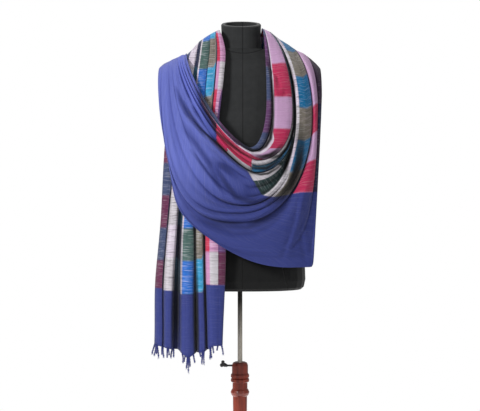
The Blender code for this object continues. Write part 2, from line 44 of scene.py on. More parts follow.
class Sock:
    # one socket of a material, so that sums on it read as plain maths
    def __init__(self, look, socket):
        self.look = look
        self.socket = socket

    def maths(self, operation, first, second):
        return self.look.node("Math", {"operation": operation}, {0: first, 1: second})

    def out(self, name):
        return Sock(self.look, self.socket.node.outputs[name])

    def __abs__(self):
        return self.look.node("Math", {"operation": "ABSOLUTE"}, {0: self})


# signs between sockets, or a socket and a number, add a Math node
operators = {"add": "ADD", "sub": "SUBTRACT", "mul": "MULTIPLY", "truediv": "DIVIDE", "pow": "POWER"}
for word, kind in operators.items():
    setattr(Sock, f"__{word}__", lambda self, other, kind=kind: self.maths(kind, self, other))
    setattr(Sock, f"__r{word}__", lambda self, other, kind=kind: self.maths(kind, other, self))


class Look:
    # a material with one Principled shader, built up node by node
    def __init__(self, name, **shaderValues):
        self.material = bpy.data.materials.new(name)
        self.material.use_nodes = True
        self.tree = self.material.node_tree
        self.shader = self.tree.nodes["Principled BSDF"]
        for socketName, value in shaderValues.items():
            self.shader.inputs[socketName.replace("_", " ")].default_value = value

    def join(self, value, socket):
        if isinstance(value, Sock):
            self.tree.links.new(value.socket, socket)
        else:
            socket.default_value = value

    def node(self, kind, settings=None, values=None, out=0):
        made = self.tree.nodes.new("ShaderNode" + kind)
        for key, value in (settings or {}).items():
            setattr(made, key, value)
        for key, value in (values or {}).items():
            self.join(value, made.inputs[key])
        return Sock(self, made.outputs[out])

    def space(self):
        return self.node("TexCoord", out=3)  # Object coordinates

    def mark(self, name):
        return self.node("Attribute", {"attribute_name": name}, out="Fac")

    def clamp(self, value):
        return self.node("Clamp", {}, {0: value})

    def ramp(self, value, edge, soft):
        # 0 before the edge and 1 after it, soft wide
        return self.clamp((value - edge) / soft + 0.5)

    def mix(self, factor, first, second, blend="MIX"):
        settings = {"data_type": "RGBA", "blend_type": blend}
        return self.node("Mix", settings, {0: factor, 6: first, 7: second}, 2)

    def grey(self, value):
        return self.node("CombineColor", {}, {0: value, 1: value, 2: value})

    def stretched(self, coords, x, y, z):
        return self.node("Mapping", {}, {"Vector": coords, "Scale": (x, y, z)})

    def speckle(self, coords, scale, detail=2.0, roughness=0.5):
        values = {"Vector": coords, "Scale": scale, "Detail": detail, "Roughness": roughness}
        return self.node("TexNoise", {}, values)

    def bump(self, height, distance, strength):
        return self.node("Bump", {}, {"Height": height, "Distance": distance, "Strength": strength})

    def feed(self, name, value):
        self.join(value, self.shader.inputs[name])


def tone(red, green, blue):
    # a colour as it looks, made linear
    return tuple(((c + 0.055) / 1.055) ** 2.4 if c > 0.04 else c / 12.92 for c in (red, green, blue)) + (1.0,)


yarns = {
    "blue": (0.208, 0.250, 0.530),
    "lilac": (0.83, 0.66, 0.83),
    "magenta": (0.78, 0.17, 0.36),
    "paleLilac": (0.88, 0.83, 0.90),
    "greyWhite": (0.82, 0.80, 0.83),
    "taupe": (0.53, 0.50, 0.46),
    "cyan": (0.24, 0.66, 0.86),
    "royal": (0.15, 0.44, 0.82),
    "blueCyan": (0.06, 0.47, 0.69),
    "red": (0.82, 0.20, 0.34),
    "pink": (0.82, 0.58, 0.76),
    "green": (0.30, 0.42, 0.40),
    "darkGreen": (0.12, 0.22, 0.22),
    "teal": (0.10, 0.30, 0.40),
    "plum": (0.42, 0.18, 0.32),
    "darkPlum": (0.22, 0.13, 0.24),
    "slate": (0.26, 0.31, 0.46),
    "purple": (0.45, 0.30, 0.54),
    "navy": (0.13, 0.15, 0.28),
    "darkTeal": (0.06, 0.16, 0.21),
    "wine": (0.40, 0.24, 0.43),
}
yarns = {name: tone(*colour) for name, colour in yarns.items()}

weave = {
    "block": 0.088,  # length of one colour block along the cloth
    "edge": 0.003,  # how softly one block runs into the next
    "thread": 0.0011,  # pitch of the twill's ribs
    "slub": 0.34,  # how much single yarns differ in tone
    "streak": 0.62,  # how strongly the thicker, paler weft yarns show
    "bump": 0.00035,
    "plainStreak": 0.10,  # the same on the plain cloth
    "wall": 0.0012,  # thickness of the cloth
}


def shawlLook(name, columns, wide):
    # columns: where each ends across the width, its two yarns in turn, streakiness, any shift of its rows
    look = Look(name, Roughness=0.66, Sheen_Weight=0.14, Sheen_Roughness=0.40, Specular_IOR_Level=0.25)
    coords = look.node("UVMap", {"uv_map": "weave"})
    place = look.node("SeparateXYZ", {}, {0: coords})
    across, along = place.out("X"), place.out("Y")
    wobble = (look.speckle(coords, 160.0, 1.0) - 0.5) * 0.003
    rowPlace = along + wobble
    colour = yarns["blue"]
    streaky = weave["plainStreak"]
    if columns:
        check = look.mark("check")
        edge = 0.0
        for end, first, second, rough, *shift in columns:
            blocks = (rowPlace + sum(shift)) / weave["block"] + 0.5
            wave = look.node("Math", {"operation": "PINGPONG"}, {0: blocks, 1: 1.0})
            row = look.ramp(wave, 0.5, 2 * weave["edge"] / weave["block"])
            pair = look.mix(row, yarns[second], yarns[first])
            within = look.ramp(across + wobble, edge, weave["edge"])
            colour = look.mix(within, colour, pair) if edge else pair
            streaky = within * (rough - streaky) + streaky if edge else rough
            edge = end
        inCheck = look.ramp(check + wobble * 1.5, 0.0, weave["edge"])
        colour = look.mix(inCheck, yarns["blue"], colour)
        streaky = inCheck * (streaky - weave["plainStreak"]) + weave["plainStreak"]
    weft = look.speckle(look.stretched(coords, wide / 0.045, 420.0, 1.0), 1.0, 2.0, 0.6)
    fine = look.speckle(look.stretched(coords, wide / 0.008, 1100.0, 1.0), 1.0, 1.0)
    warp = look.speckle(look.stretched(coords, 900.0, 22.0, 1.0), 1.0, 2.0)
    cloudy = look.speckle(coords, 9.0, 3.0)
    pale = look.clamp((weft - 0.53) * 7.0) * streaky * weave["streak"]
    dark = look.clamp((0.47 - weft) * 7.0) * streaky * weave["streak"]
    colour = look.mix(pale, colour, look.mix(0.55, colour, tone(0.93, 0.92, 0.96)))
    colour = look.mix(dark, colour, look.mix(0.60, colour, tone(0.16, 0.16, 0.24)))
    # painted shading mark: above nought painted shade in the hollows and fold shadows, below nought painted
    # light; the yarns' random tone is multiplied by the painted shade
    paintedShading = look.mark("paintedShading")
    shade = (0.97 + weave["slub"] * (fine + warp - 1.0) + (cloudy - 0.5) * 0.16) * (1 - 0.985 * paintedShading) ** 1.4
    colour = look.mix(1.0, colour, look.grey(shade), "MULTIPLY")
    # painted sheen: where the cloth is painted lighter, its colour also pales towards grey-white
    colour = look.mix(look.clamp(0.0 - paintedShading) * 0.12, colour, tone(0.78, 0.80, 0.84))
    look.feed("Base Color", colour)
    slant = (across + along) * (2 * math.pi / weave["thread"])
    rib = look.node("Math", {"operation": "SINE"}, {0: slant})
    height = rib * 0.35 + weft + fine * 0.7 + warp * 0.7
    look.feed("Normal", look.bump(height, weave["bump"], 0.8))
    look.feed("Roughness", 0.58 + 0.14 * weft)
    return look.material


def jerseyLook():
    look = Look("formJersey", Roughness=0.9, Sheen_Weight=0.18, Sheen_Roughness=0.5, Specular_IOR_Level=0.2)
    coords = look.space()
    place = look.node("SeparateXYZ", {}, {0: coords})
    sideways = abs(place.out("X"))
    height = place.out("Z")
    # the princess seams run out over the hips and up through the bust; one more runs down the middle
    hipRun = look.node("MapRange", {}, {0: height, 1: 0.77, 2: 0.985, 3: 0.127, 4: 0.084})
    seam = 1 - look.clamp((abs(sideways - hipRun) - 0.0006) / 0.0012)
    seam = look.clamp(seam + 1 - look.clamp((abs(place.out("X") - 0.008) - 0.0005) / 0.0012))
    offNeck = place.out("X") - 0.010
    neckRun = offNeck * offNeck * 4.5 + 1.4111
    neckSeam = 1 - look.clamp((abs(height - neckRun) - 0.0007) / 0.0014)
    seam = look.clamp(seam + neckSeam * look.clamp(-1000.0 * place.out("Y") - 20.0))
    knit = look.speckle(look.stretched(coords, 1.0, 1.0, 0.55), 900.0, 2.0)
    lint = look.speckle(coords, 60.0, 4.0)
    colour = look.mix(lint, tone(0.125, 0.13, 0.135), tone(0.175, 0.18, 0.185))
    colour = look.mix(seam * 0.55, colour, tone(0.05, 0.05, 0.055))
    # painted light and shade: the jersey is lighter on the chest and darker towards its underside
    colour = look.mix(1.0, colour, look.grey(0.32 + 0.98 * look.clamp((height - 0.86) * 2.8)), "MULTIPLY")
    look.feed("Base Color", colour)
    look.feed("Roughness", 0.82 + 0.14 * knit)
    look.feed("Normal", look.bump(knit * 0.4 - seam * 2.5, 0.0006, 0.7))
    return look.material


def woodLook():
    look = Look("redWood", Coat_Weight=0.55, Coat_Roughness=0.06, Specular_IOR_Level=0.4)
    coords = look.space()
    grain = look.speckle(look.stretched(coords, 1.0, 1.0, 0.06), 90.0, 6.0, 0.6)
    figure = look.speckle(look.stretched(coords, 1.0, 1.0, 0.18), 14.0, 3.0)
    streak = look.clamp((grain + figure - 0.62) * 1.9)
    colour = look.mix(streak, tone(0.33, 0.105, 0.075), tone(0.65, 0.265, 0.18))
    pores = look.speckle(look.stretched(coords, 1.0, 1.0, 0.03), 600.0, 1.0)
    colour = look.mix(look.clamp((pores - 0.60) * 6.0) * 0.5, colour, tone(0.11, 0.045, 0.035))
    look.feed("Base Color", colour)
    look.feed("Roughness", 0.30 + 0.18 * grain)
    look.feed("Normal", look.bump(pores, 0.0002, 0.25))
    return look.material


def steelLook():
    look = Look("polishedSteel", Metallic=0.75)
    coords = look.space()
    brushed = look.speckle(look.stretched(coords, 1.0, 1.0, 30.0), 60.0, 2.0)
    worn = look.speckle(coords, 90.0, 4.0)
    # painted shade: darker towards the top, where the form keeps it dark
    height = look.node("SeparateXYZ", {}, {0: coords}).out("Z")
    bright = look.mix(worn, tone(0.86, 0.83, 0.77), tone(0.94, 0.91, 0.86))
    look.feed("Base Color", look.mix(look.clamp((height - 0.63) * 9.0), bright, tone(0.23, 0.225, 0.21)))
    look.feed("Roughness", 0.12 + 0.10 * brushed + 0.05 * worn)
    look.feed("Normal", look.bump(brushed, 0.00005, 0.3))
    return look.material


def screwLook():
    look = Look("blackMetal", Specular_IOR_Level=0.5)
    coords = look.space()
    worn = look.speckle(coords, 220.0, 4.0)
    look.feed("Base Color", look.mix(worn, tone(0.07, 0.07, 0.075), tone(0.16, 0.155, 0.15)))
    look.feed("Roughness", 0.30 + 0.20 * worn)
    look.feed("Normal", look.bump(worn, 0.0001, 0.2))
    return look.material


# the cloth's shape, in the same named sizes as its solids

seams = {"half": 0.00015, "lift": 0.0014, "leftLift": 0.0085, "round": 0.060, "roundPower": 2.2}
hanging = {"power": 2.6, "under": 0.021, "underLow": 0.012, "overBack": 0.020}

shoulderLine = [
    # x, height of the line that the cloth takes over the shoulders and against the neck
    (-0.235, 1.3440), (-0.225, 1.3560), (-0.220, 1.3680), (-0.209, 1.3775), (-0.190, 1.3865),
    (-0.169, 1.3952), (-0.150, 1.4055), (-0.133, 1.4225), (-0.109, 1.4490), (-0.095, 1.4580),
    (-0.079, 1.4685), (-0.058, 1.4790), (0.000, 1.4850), (0.050, 1.4870), (0.061, 1.4830),
    (0.083, 1.4730), (0.107, 1.4535), (0.129, 1.4405), (0.154, 1.4230), (0.173, 1.4150),
    (0.193, 1.4000), (0.209, 1.3860), (0.223, 1.3695), (0.235, 1.3575),
]
hangTable = [
    # height, half width, depth in front, depth behind
    (0.540, 0.262, 0.146, 0.135), (0.800, 0.256, 0.152, 0.140), (0.950, 0.252, 0.152, 0.134),
    (1.080, 0.248, 0.154, 0.128), (1.170, 0.246, 0.156, 0.127), (1.250, 0.244, 0.142, 0.129),
    (1.310, 0.242, 0.124, 0.126), (1.360, 0.240, 0.104, 0.115), (1.400, 0.238, 0.084, 0.100),
    (1.440, 0.236, 0.074, 0.092), (1.470, 0.234, 0.070, 0.090),
]


def column(rows, key, index):
    return np.interp(key, [row[0] for row in rows], [row[index] for row in rows])


def shoulderHeight(x):
    return column(shoulderLine, x, 1)


def reach(drop):
    left = 1 - np.clip(drop / seams["round"], 0.0, 1.0)
    return (1 - left ** seams["roundPower"]) ** (1 / seams["roundPower"])


def hangDepth(x, z, side):
    across = np.minimum(np.abs(x) / column(hangTable, z, 1), 0.995)
    return column(hangTable, z, side) * (1 - across ** hanging["power"]) ** (1 / hanging["power"])


def smooth(value):
    value = np.clip(value, 0.0, 1.0)
    return value * value * (3 - 2 * value)


def bell(value, middle, width):
    return np.exp(-((value - middle) / width) ** 2)


def turn(startX, startZ, cornerX, cornerZ, power, share):
    angle = share * math.pi / 2
    x = cornerX + (startX - cornerX) * np.sin(angle) ** (2 / power)
    z = cornerZ + (startZ - cornerZ) * (1 - np.cos(angle) ** (2 / power))
    return x, z


def evenTurn(startX, startZ, cornerX, cornerZ, power, share, steps=48):
    # as turn, but the share is of the turn's length
    even = np.linspace(0, 1, steps + 1)[None, :]
    xs, zs = turn(startX, startZ, cornerX, cornerZ, power, even)
    run = np.cumsum(np.hypot(np.diff(xs, axis=1), np.diff(zs, axis=1)), axis=1)
    run = np.concatenate([np.zeros((run.shape[0], 1)), run], axis=1)
    return [
        np.stack([np.interp(share[0] * length[-1], length, row) for length, row in zip(run, line)])
        for line in (xs, zs)
    ]


def swing(rows, u, index):
    # runs between ridges and valleys: broad over a ridge, narrow in a valley
    sharp = 0.8
    keys = [row[0] for row in rows]
    place = np.clip(np.searchsorted(keys, u, side="right") - 1, 0, len(rows) - 2)
    low = np.array([rows[i][index] for i in place])
    high = np.array([rows[i + 1][index] for i in place])
    start = np.array([keys[i] for i in place])
    span = np.array([keys[i + 1] - keys[i] for i in place])
    share = np.clip((u - start) / span, 0.0, 1.0)
    rising = np.sin(share * math.pi / 2) ** sharp
    falling = 1 - np.sin((1 - share) * math.pi / 2) ** sharp
    return low + (high - low) * np.where(high > low, rising, falling)


def along(rows, u, t, stops):
    # the relief at u, moving from one column of the table to the next as t passes each stop
    value = swing(rows, u, 1)[:, None] * np.ones_like(t)[None, :]
    for index, (start, end) in enumerate(stops):
        after = swing(rows, u, index + 2)[:, None]
        value = value + (after - value) * smooth((t - start) / (end - start))[None, :]
    return value


def denseEnds(steps, start, end):
    share = np.linspace(0, 1, steps + 1)
    return share + start * (share ** 2 - share) * (1 - share) - end * (share ** 2 - share) * share


def evenShares(rows, steps, crowd=0.55):
    # shares of the width, closer together where the table's rows are close
    keys = np.array([row[0] for row in rows])
    even = np.linspace(0, 1, len(keys))
    share = np.linspace(0, 1, steps + 1)
    return (1 - crowd) * share + crowd * np.interp(share, even, keys)


def crinkle(u, t, size, seed):
    # fine uneven creases, longer along the folds than across them
    values = np.zeros((len(u), len(t)))
    for i, a in enumerate(u):
        for j, b in enumerate(t):
            broad = noise.noise(Vector((a * 26, b * 4, seed)))
            values[i, j] = broad + 0.5 * noise.noise(Vector((a * 61, b * 11, seed + 7)))
    return values * size


def nearLine(x, z, points):
    # signed distance from a line drawn in millimetres, and how far along it the nearest place lies
    points = np.array(points) / 1000
    best = np.full(x.shape, 1e9)
    signed = np.zeros_like(x)
    place = np.zeros_like(x)
    for i, (a, b) in enumerate(zip(points, points[1:])):
        step = b - a
        share = np.clip(((x - a[0]) * step[0] + (z - a[1]) * step[1]) / step.dot(step), 0, 1)
        offX, offZ = x - (a[0] + step[0] * share), z - (a[1] + step[1] * share)
        distance = np.hypot(offX, offZ)
        nearer = distance < best
        side = np.sign(step[0] * offZ - step[1] * offX)
        best = np.where(nearer, distance, best)
        signed = np.where(nearer, distance * side, signed)
        place = np.where(nearer, (i + share) / (len(points) - 1), place)
    return signed, place


def strokes(x, z, marks):
    # soft creases drawn as lines on the hanging cloth: each a ridge or a trough with its opposite beside it
    total = np.zeros_like(x)
    for points, width, height, beside in marks:
        width = width / 1000
        signed, place = nearLine(x, z, points)
        fade = np.sin(np.clip(place, 0.02, 0.98) * math.pi) ** 0.6
        opposite = bell(signed, -math.copysign(1.7, beside) * width, 1.2 * width)
        total += height / 1000 * (bell(signed, 0, width) - abs(beside) * opposite) * fade
    return total


def shadows(x, z, marks):
    # painted shade: where folds stand close together, light hardly reaches the cloth between them
    total = np.zeros_like(x)
    for points, width, dark in marks:
        signed, place = nearLine(x, z, points)
        fade = np.sin(np.clip(place, 0.03, 0.97) * math.pi) ** 0.5
        total = np.maximum(total, dark * fade * np.exp(-(signed / width * 1000) ** 4))
    return total


def hollowShade(proud, u, deep=0.006, wide=0.022):
    # how deep each point lies below the folds beside it, from 0 to 1, used as painted shade in the hollows
    even = np.linspace(0, 1, 501)
    reachSteps = np.arange(-60, 61)
    kernel = np.exp(-(reachSteps / (wide * 500)) ** 2)
    kernel /= kernel.sum()
    found = np.zeros_like(proud)
    for j in range(proud.shape[1]):
        level = np.interp(even, u, proud[:, j])
        nearby = np.convolve(np.pad(level, 60, mode="edge"), kernel, mode="valid")
        found[:, j] = np.interp(u, even, nearby - level)
    return np.clip(found / deep, 0, 1) ** 1.3


def pick(piece):
    bpy.ops.object.select_all(action="DESELECT")
    bpy.context.view_layer.objects.active = piece
    piece.select_set(True)


def addObject(name, data):
    made = bpy.data.objects.new(name, data)
    bpy.context.scene.collection.objects.link(made)
    return made


def addMesh(name, points, faces, marks, look):
    # a smooth mesh whose marks are values at its points
    mesh = bpy.data.meshes.new(name)
    mesh.from_pydata(points, [], faces)
    mesh.polygons.foreach_set("use_smooth", [True] * len(mesh.polygons))
    for markName, values in marks.items():
        layer = mesh.attributes.new(markName, "FLOAT", "POINT")
        layer.data.foreach_set("value", np.ravel(values).astype(np.float32))
    mesh.materials.append(look)
    return addObject(name, mesh)


def clothPiece(name, grid, mapX, mapY, marks, look):
    # a thin wall on a grid of points, with its own weave map in metres
    rows, columns = grid.shape[:2]
    faces = []
    for i in range(rows - 1):
        for j in range(columns - 1):
            a = i * columns + j
            faces.append((a, a + columns, a + columns + 1, a + 1))
    piece = addMesh(name, grid.reshape(-1, 3).tolist(), faces, marks, look)
    mesh = piece.data
    corner = np.array([loop.vertex_index for loop in mesh.loops])
    flat = np.stack([mapX.reshape(-1)[corner], mapY.reshape(-1)[corner]], axis=1)
    mesh.uv_layers.new(name="weave").data.foreach_set("uv", flat.reshape(-1).astype(np.float32))
    area = sum(polygon.area for polygon in mesh.polygons)
    pick(piece)
    wall = piece.modifiers.new("wall", "SOLIDIFY")
    wall.thickness = weave["wall"]
    wall.offset = 0.0
    wall.use_even_offset = False
    bpy.ops.object.modifier_apply(modifier="wall")
    bpy.ops.object.mode_set(mode="EDIT")
    bpy.ops.mesh.select_all(action="SELECT")
    bpy.ops.mesh.normals_make_consistent(inside=False)
    bpy.ops.object.mode_set(mode="OBJECT")
    print(name, "area", round(area, 3), "triangles", 2 * len(piece.data.polygons))
    return piece


def lengths(grid):
    # distance along each fold from its first point
    steps = np.linalg.norm(np.diff(grid, axis=1), axis=2)
    return np.concatenate([np.zeros((grid.shape[0], 1)), np.cumsum(steps, axis=1)], axis=1)


def layOut(rows, sizes, makeGrid):
    # shares across the cloth, its points, how proud they are, their run along the folds, their share across
    u = evenShares(rows, sizes["across"])
    t = denseEnds(sizes["along"], *sizes["dense"])
    grid, proud = makeGrid(u, t)
    run = lengths(grid)
    return u, grid, proud, run, u[:, None] * np.ones_like(run)


# the cowl across the chest

frontFolds = [
    # u, shoulderX, sideX, sideZ, lowX, lowZ, leftX, powerRight, powerLeft
    (0.000, 0.0594, 0.0700, 1.290, 0.026, 1.151, -0.146, 2.2, 1.38),
    (0.035, 0.0604, 0.0800, 1.280, 0.030, 1.144, -0.149, 2.2, 1.40),
    (0.060, 0.0613, 0.0860, 1.262, 0.033, 1.139, -0.151, 2.3, 1.41),
    (0.085, 0.0615, 0.0905, 1.249, 0.036, 1.135, -0.153, 2.4, 1.42),
    (0.125, 0.0625, 0.1130, 1.252, 0.039, 1.128, -0.155, 2.3, 1.42),
    (0.170, 0.0640, 0.1360, 1.249, 0.044, 1.121, -0.158, 2.2, 1.42),
    (0.205, 0.0650, 0.1400, 1.242, 0.045, 1.113, -0.161, 2.1, 1.42),
    (0.240, 0.0655, 0.1412, 1.238, 0.045, 1.104, -0.164, 2.1, 1.42),
    (0.300, 0.0660, 0.1425, 1.236, 0.046, 1.094, -0.166, 2.1, 1.42),
    (0.330, 0.0665, 0.1440, 1.234, 0.041, 1.086, -0.169, 2.1, 1.45),
    (0.360, 0.0670, 0.1447, 1.233, 0.039, 1.076, -0.172, 2.1, 1.50),
    (0.450, 0.0680, 0.1460, 1.236, 0.033, 1.048, -0.177, 2.1, 1.58),
    (0.530, 0.0720, 0.1490, 1.241, 0.018, 1.012, -0.184, 2.1, 1.80),
    (0.600, 0.0880, 0.1620, 1.243, 0.010, 1.000, -0.190, 2.1, 2.15),
    (0.670, 0.1050, 0.1760, 1.246, 0.002, 0.988, -0.197, 2.1, 2.70),
    (0.700, 0.1140, 0.1830, 1.246, -0.002, 0.980, -0.203, 2.1, 2.85),
    (0.735, 0.1240, 0.1890, 1.246, -0.004, 0.971, -0.208, 2.1, 2.95),
    (0.770, 0.1340, 0.1925, 1.246, 0.002, 0.952, -0.212, 2.1, 2.75),
    (0.830, 0.1500, 0.1990, 1.249, 0.023, 0.909, -0.215, 2.3, 2.40),
    (0.920, 0.1820, 0.2090, 1.268, 0.072, 0.873, -0.218, 3.6, 2.25),
    (1.000, 0.2190, 0.2190, 1.294, 0.135, 0.838, -0.221, 36.0, 2.15),
]
frontRelief = [
    # u, how proud in millimetres on the shoulder, down the side, under the chest, up the left
    (0.000, 1, 1, 0, 0), (0.028, 3, 4, 2, 2), (0.056, -3, -12, -8, -4), (0.078, 2, 3, 7, 3),
    (0.100, 4, 9, 10, 4), (0.135, 4, 9, 4, 2), (0.168, 3, 3, -2, 0), (0.188, -3, -9, -8, -3),
    (0.206, -4, -13, 6, 4), (0.240, -4, -14, -6, -5), (0.270, -4, -14, -1, 0), (0.302, -4, -14, 7, 3),
    (0.332, -4, -14, -10, -6), (0.362, -4, -14, 8, 3), (0.400, -4, -14, 4, 2), (0.450, -4, -14, -8, -3),
    (0.505, -4, -13, -5, 0), (0.532, 2, 5, 11, 4), (0.562, 4, 10, 6, 2), (0.602, 3, 10, -9, -4),
    (0.640, 3, 10, 4, 1), (0.672, 0, 8, 10, 3), (0.702, -3, 6, 1, 0), (0.736, 2, 1, 9, 3),
    (0.762, -2, -11, -9, -3), (0.785, 2, 3, -4, -1), (0.835, 5, 9, 9, 3), (0.880, 2, 4, 3, 1),
    (0.908, -2, -6, -2, -1), (0.935, 2, 3, -3, 1), (1.000, 1, 2, 2, 0),
]
frontPlain = [
    # x, height of the line where the check ends on the folds below the chest's deep valley
    (-0.240, 1.525), (0.018, 1.0924), (0.057, 1.027), (0.091, 1.022), (0.156, 1.034), (0.203, 1.036),
    (0.240, 1.036),
]
frontTurned = [
    # height, how far left the check shows on the folds above that valley, before the plain end covers it
    (1.000, -0.0605), (1.190, -0.0612), (1.270, -0.102), (1.295, -0.102), (1.320, -0.080), (1.345, -0.050),
]
frontColumns = [
    # end across the width, its two yarns in turn from the plain end up, streakiness, any shift of its rows
    (0.056, "slate", "wine", 0.5, 0.010),
    (0.104, "paleLilac", "paleLilac", 0.6),
    (0.176, "magenta", "lilac", 0.45),
    (0.188, "darkPlum", "darkPlum", 0.5),
    (0.238, "greyWhite", "greyWhite", 1.4),
    (0.290, "darkTeal", "teal", 0.6),
    (0.334, "blueCyan", "blueCyan", 0.8),
    (0.396, "greyWhite", "darkGreen", 1.2),
    (0.520, "darkGreen", "darkTeal", 0.6),
    (0.566, "greyWhite", "paleLilac", 1.6),
    (0.745, "taupe", "blueCyan", 0.9, 0.006),
    (0.772, "navy", "darkPlum", 0.4),
    (0.900, "magenta", "lilac", 0.5),
    (1.000, "navy", "darkPlum", 0.4),
]
deepValley = [(-118, 1219), (-90, 1188), (-68, 1168), (-40, 1141), (-2, 1110), (18, 1095)]  # x and z in mm
frontCreases = [
    # its line, x and z in mm, then half width and height, and how much of its opposite lies beside it
    ([(-168, 1301), (-155, 1276), (-135, 1239)] + deepValley, 6.5, -10.5, 0.9),
    ([(-161, 1202), (-141, 1180), (-121, 1155), (-102, 1128), (-85, 1102), (-68, 1068),
      (-60, 1052)], 6.5, 6, -0.7),
    ([(-148, 1301), (-128, 1272), (-115, 1259), (-96, 1230)], 5, 4, 0.6),
    ([(-81, 1116), (-47, 1103), (-10, 1090), (21, 1072)], 13, -6, 0.0),
    ([(-156, 993), (-104, 960), (-57, 939), (-13, 926), (34, 926), (75, 944), (108, 969),
      (135, 1007)], 7, -4, 0.6),
    ([(177, 1061), (161, 1014), (151, 957), (130, 897), (115, 853)], 6, 4, 0.6),
    ([(164, 941), (172, 897), (180, 843)], 5, 3, 0.6),
    ([(-180, 1379), (-172, 1340), (-167, 1301), (-159, 1262)], 6, 3.5, 0.6),
    ([(-156, 1384), (-146, 1353), (-133, 1321), (-112, 1285), (-86, 1249)], 6.5, 3.5, -0.6),
    ([(-198, 1327), (-195, 1262), (-187, 1197), (-172, 1131), (-148, 1072)], 8, 4, 0.5),
    ([(73, 1379), (83, 1358), (96, 1337), (102, 1311)], 5, -6, 0.7),
    ([(83, 1316), (96, 1293), (107, 1295), (115, 1316)], 5, 3.5, 0.7),
    ([(-113, 987), (-57, 969), (16, 957), (83, 987), (133, 1036)], 10, 4, 0.5),
]
frontShadows = [
    # its line, x and z in mm, half width, how dark
    ([(156, 1202), (157, 1157), (154, 1118), (144, 1082), (130, 1051), (107, 1025), (78, 1007)], 12, 0.97),
    ([(70, 1392), (78, 1366), (83, 1327), (86, 1288), (86, 1236), (84, 1204), (79, 1173), (67, 1154),
      (51, 1143), (32, 1143), (11, 1154), (-16, 1176), (-47, 1207)], 4.5, 0.97),
    ([(120, 1400), (133, 1363), (142, 1314), (143, 1275), (143, 1236), (142, 1207), (134, 1176),
      (122, 1150), (104, 1130), (83, 1125), (57, 1128), (31, 1131)], 4.2, 0.96),
    ([(108, 1155), (94, 1141), (78, 1131), (57, 1126), (36, 1128)], 5.5, 0.97),
    ([(-71, 1121), (-58, 1090), (-37, 1058), (-11, 1022), (26, 1012), (76, 1013)], 7, 0.42),
    ([(-67, 1109), (-41, 1101), (-11, 1078)], 11, 0.38),
    ([(-170, 1313), (-144, 1257), (-100, 1197), (-61, 1161)], 4, 0.5),
    ([(-127, 1144), (-80, 1081), (-41, 1031)], 4.5, 0.38),
    ([(-116, 1315), (-105, 1290), (-86, 1239), (-67, 1189)], 11, 0.4),
    ([(135, 1152), (128, 1126), (120, 1100), (112, 1077)], 6, 0.92),
    ([(18, 1100), (39, 1096), (68, 1096), (94, 1111), (117, 1131)], 4, 0.9),
    ([(8, 1098), (29, 1086), (54, 1080), (73, 1083), (96, 1097), (115, 1118)], 3, 0.9),
    ([(-89, 1223), (-62, 1194), (-31, 1163), (0, 1139), (26, 1124)], 3.2, 0.75),
    ([(-148, 1275)] + deepValley, 3, 0.85),
]
front = {
    "across": 168, "along": 220, "dense": (0.6, 0.6), "crinkle": 0.0007,
    "side": 0.20, "low": 0.56,  # shares of a fold's length at its widest on the right, and at its lowest
    "lean": 0.026, "rowEdge": 1.200, "valley": 0.336,
    "sagAt": 0.995, "sagHigh": 0.085, "sagLeft": 0.026, "sagDown": 0.011,
    "calmFrom": 0.385, "calmTo": 0.520, "calm": 0.85,
}
patch = {
    # columns that leave their straight run: X, Z in metres, Rate a factor, Shade a darkness, the rest shares
    "rollX": 0.002, "rollBy": 0.050, "wideFrom": 0.083, "wideZ": 1.165, "wideBy": 0.020,
    "spreadX": 0.031, "spreadTo": 0.106, "spreadRate": 0.28, "darkX": -0.0606, "darkColumn": 0.182,
    "paleX": -0.032, "paleFrom": 0.300, "paleColumn": 0.215, "paleShade": 0.30,
    "stripeFrom": 0.54, "stripeAt": 0.635, "stripeWide": 0.070, "stripeBy": 0.090, "stripeZ": 1.150,
    # rows: At, By and End in metres along the cloth, From and To as shares of its width
    "lastAt": 0.045, "lastBy": 0.062, "lastEnd": -0.172,
    "neckTo": 0.180, "neckRate": 0.88, "neckEnd": 0.345,
    "outerFrom": 0.770, "outerRate": 1.17, "outerEnd": 0.340,
}
gleam = {"strength": 0.76, "right": 0.10, "across": 0.28}


def gleams(x, z, foot, rise):
    # painted light: a mark below nought lightens, as the plain cloth gleams towards the light, high on the
    # left
    return gleam["strength"] * smooth((z - foot) / rise) * smooth((gleam["right"] - x) / gleam["across"])


def leftLift(u):
    # the cowl lies over the hanging end on the left shoulder, closer at its inner edge
    return seams["leftLift"] * (0.5 + 0.5 * smooth(u / 0.2))[:, None]


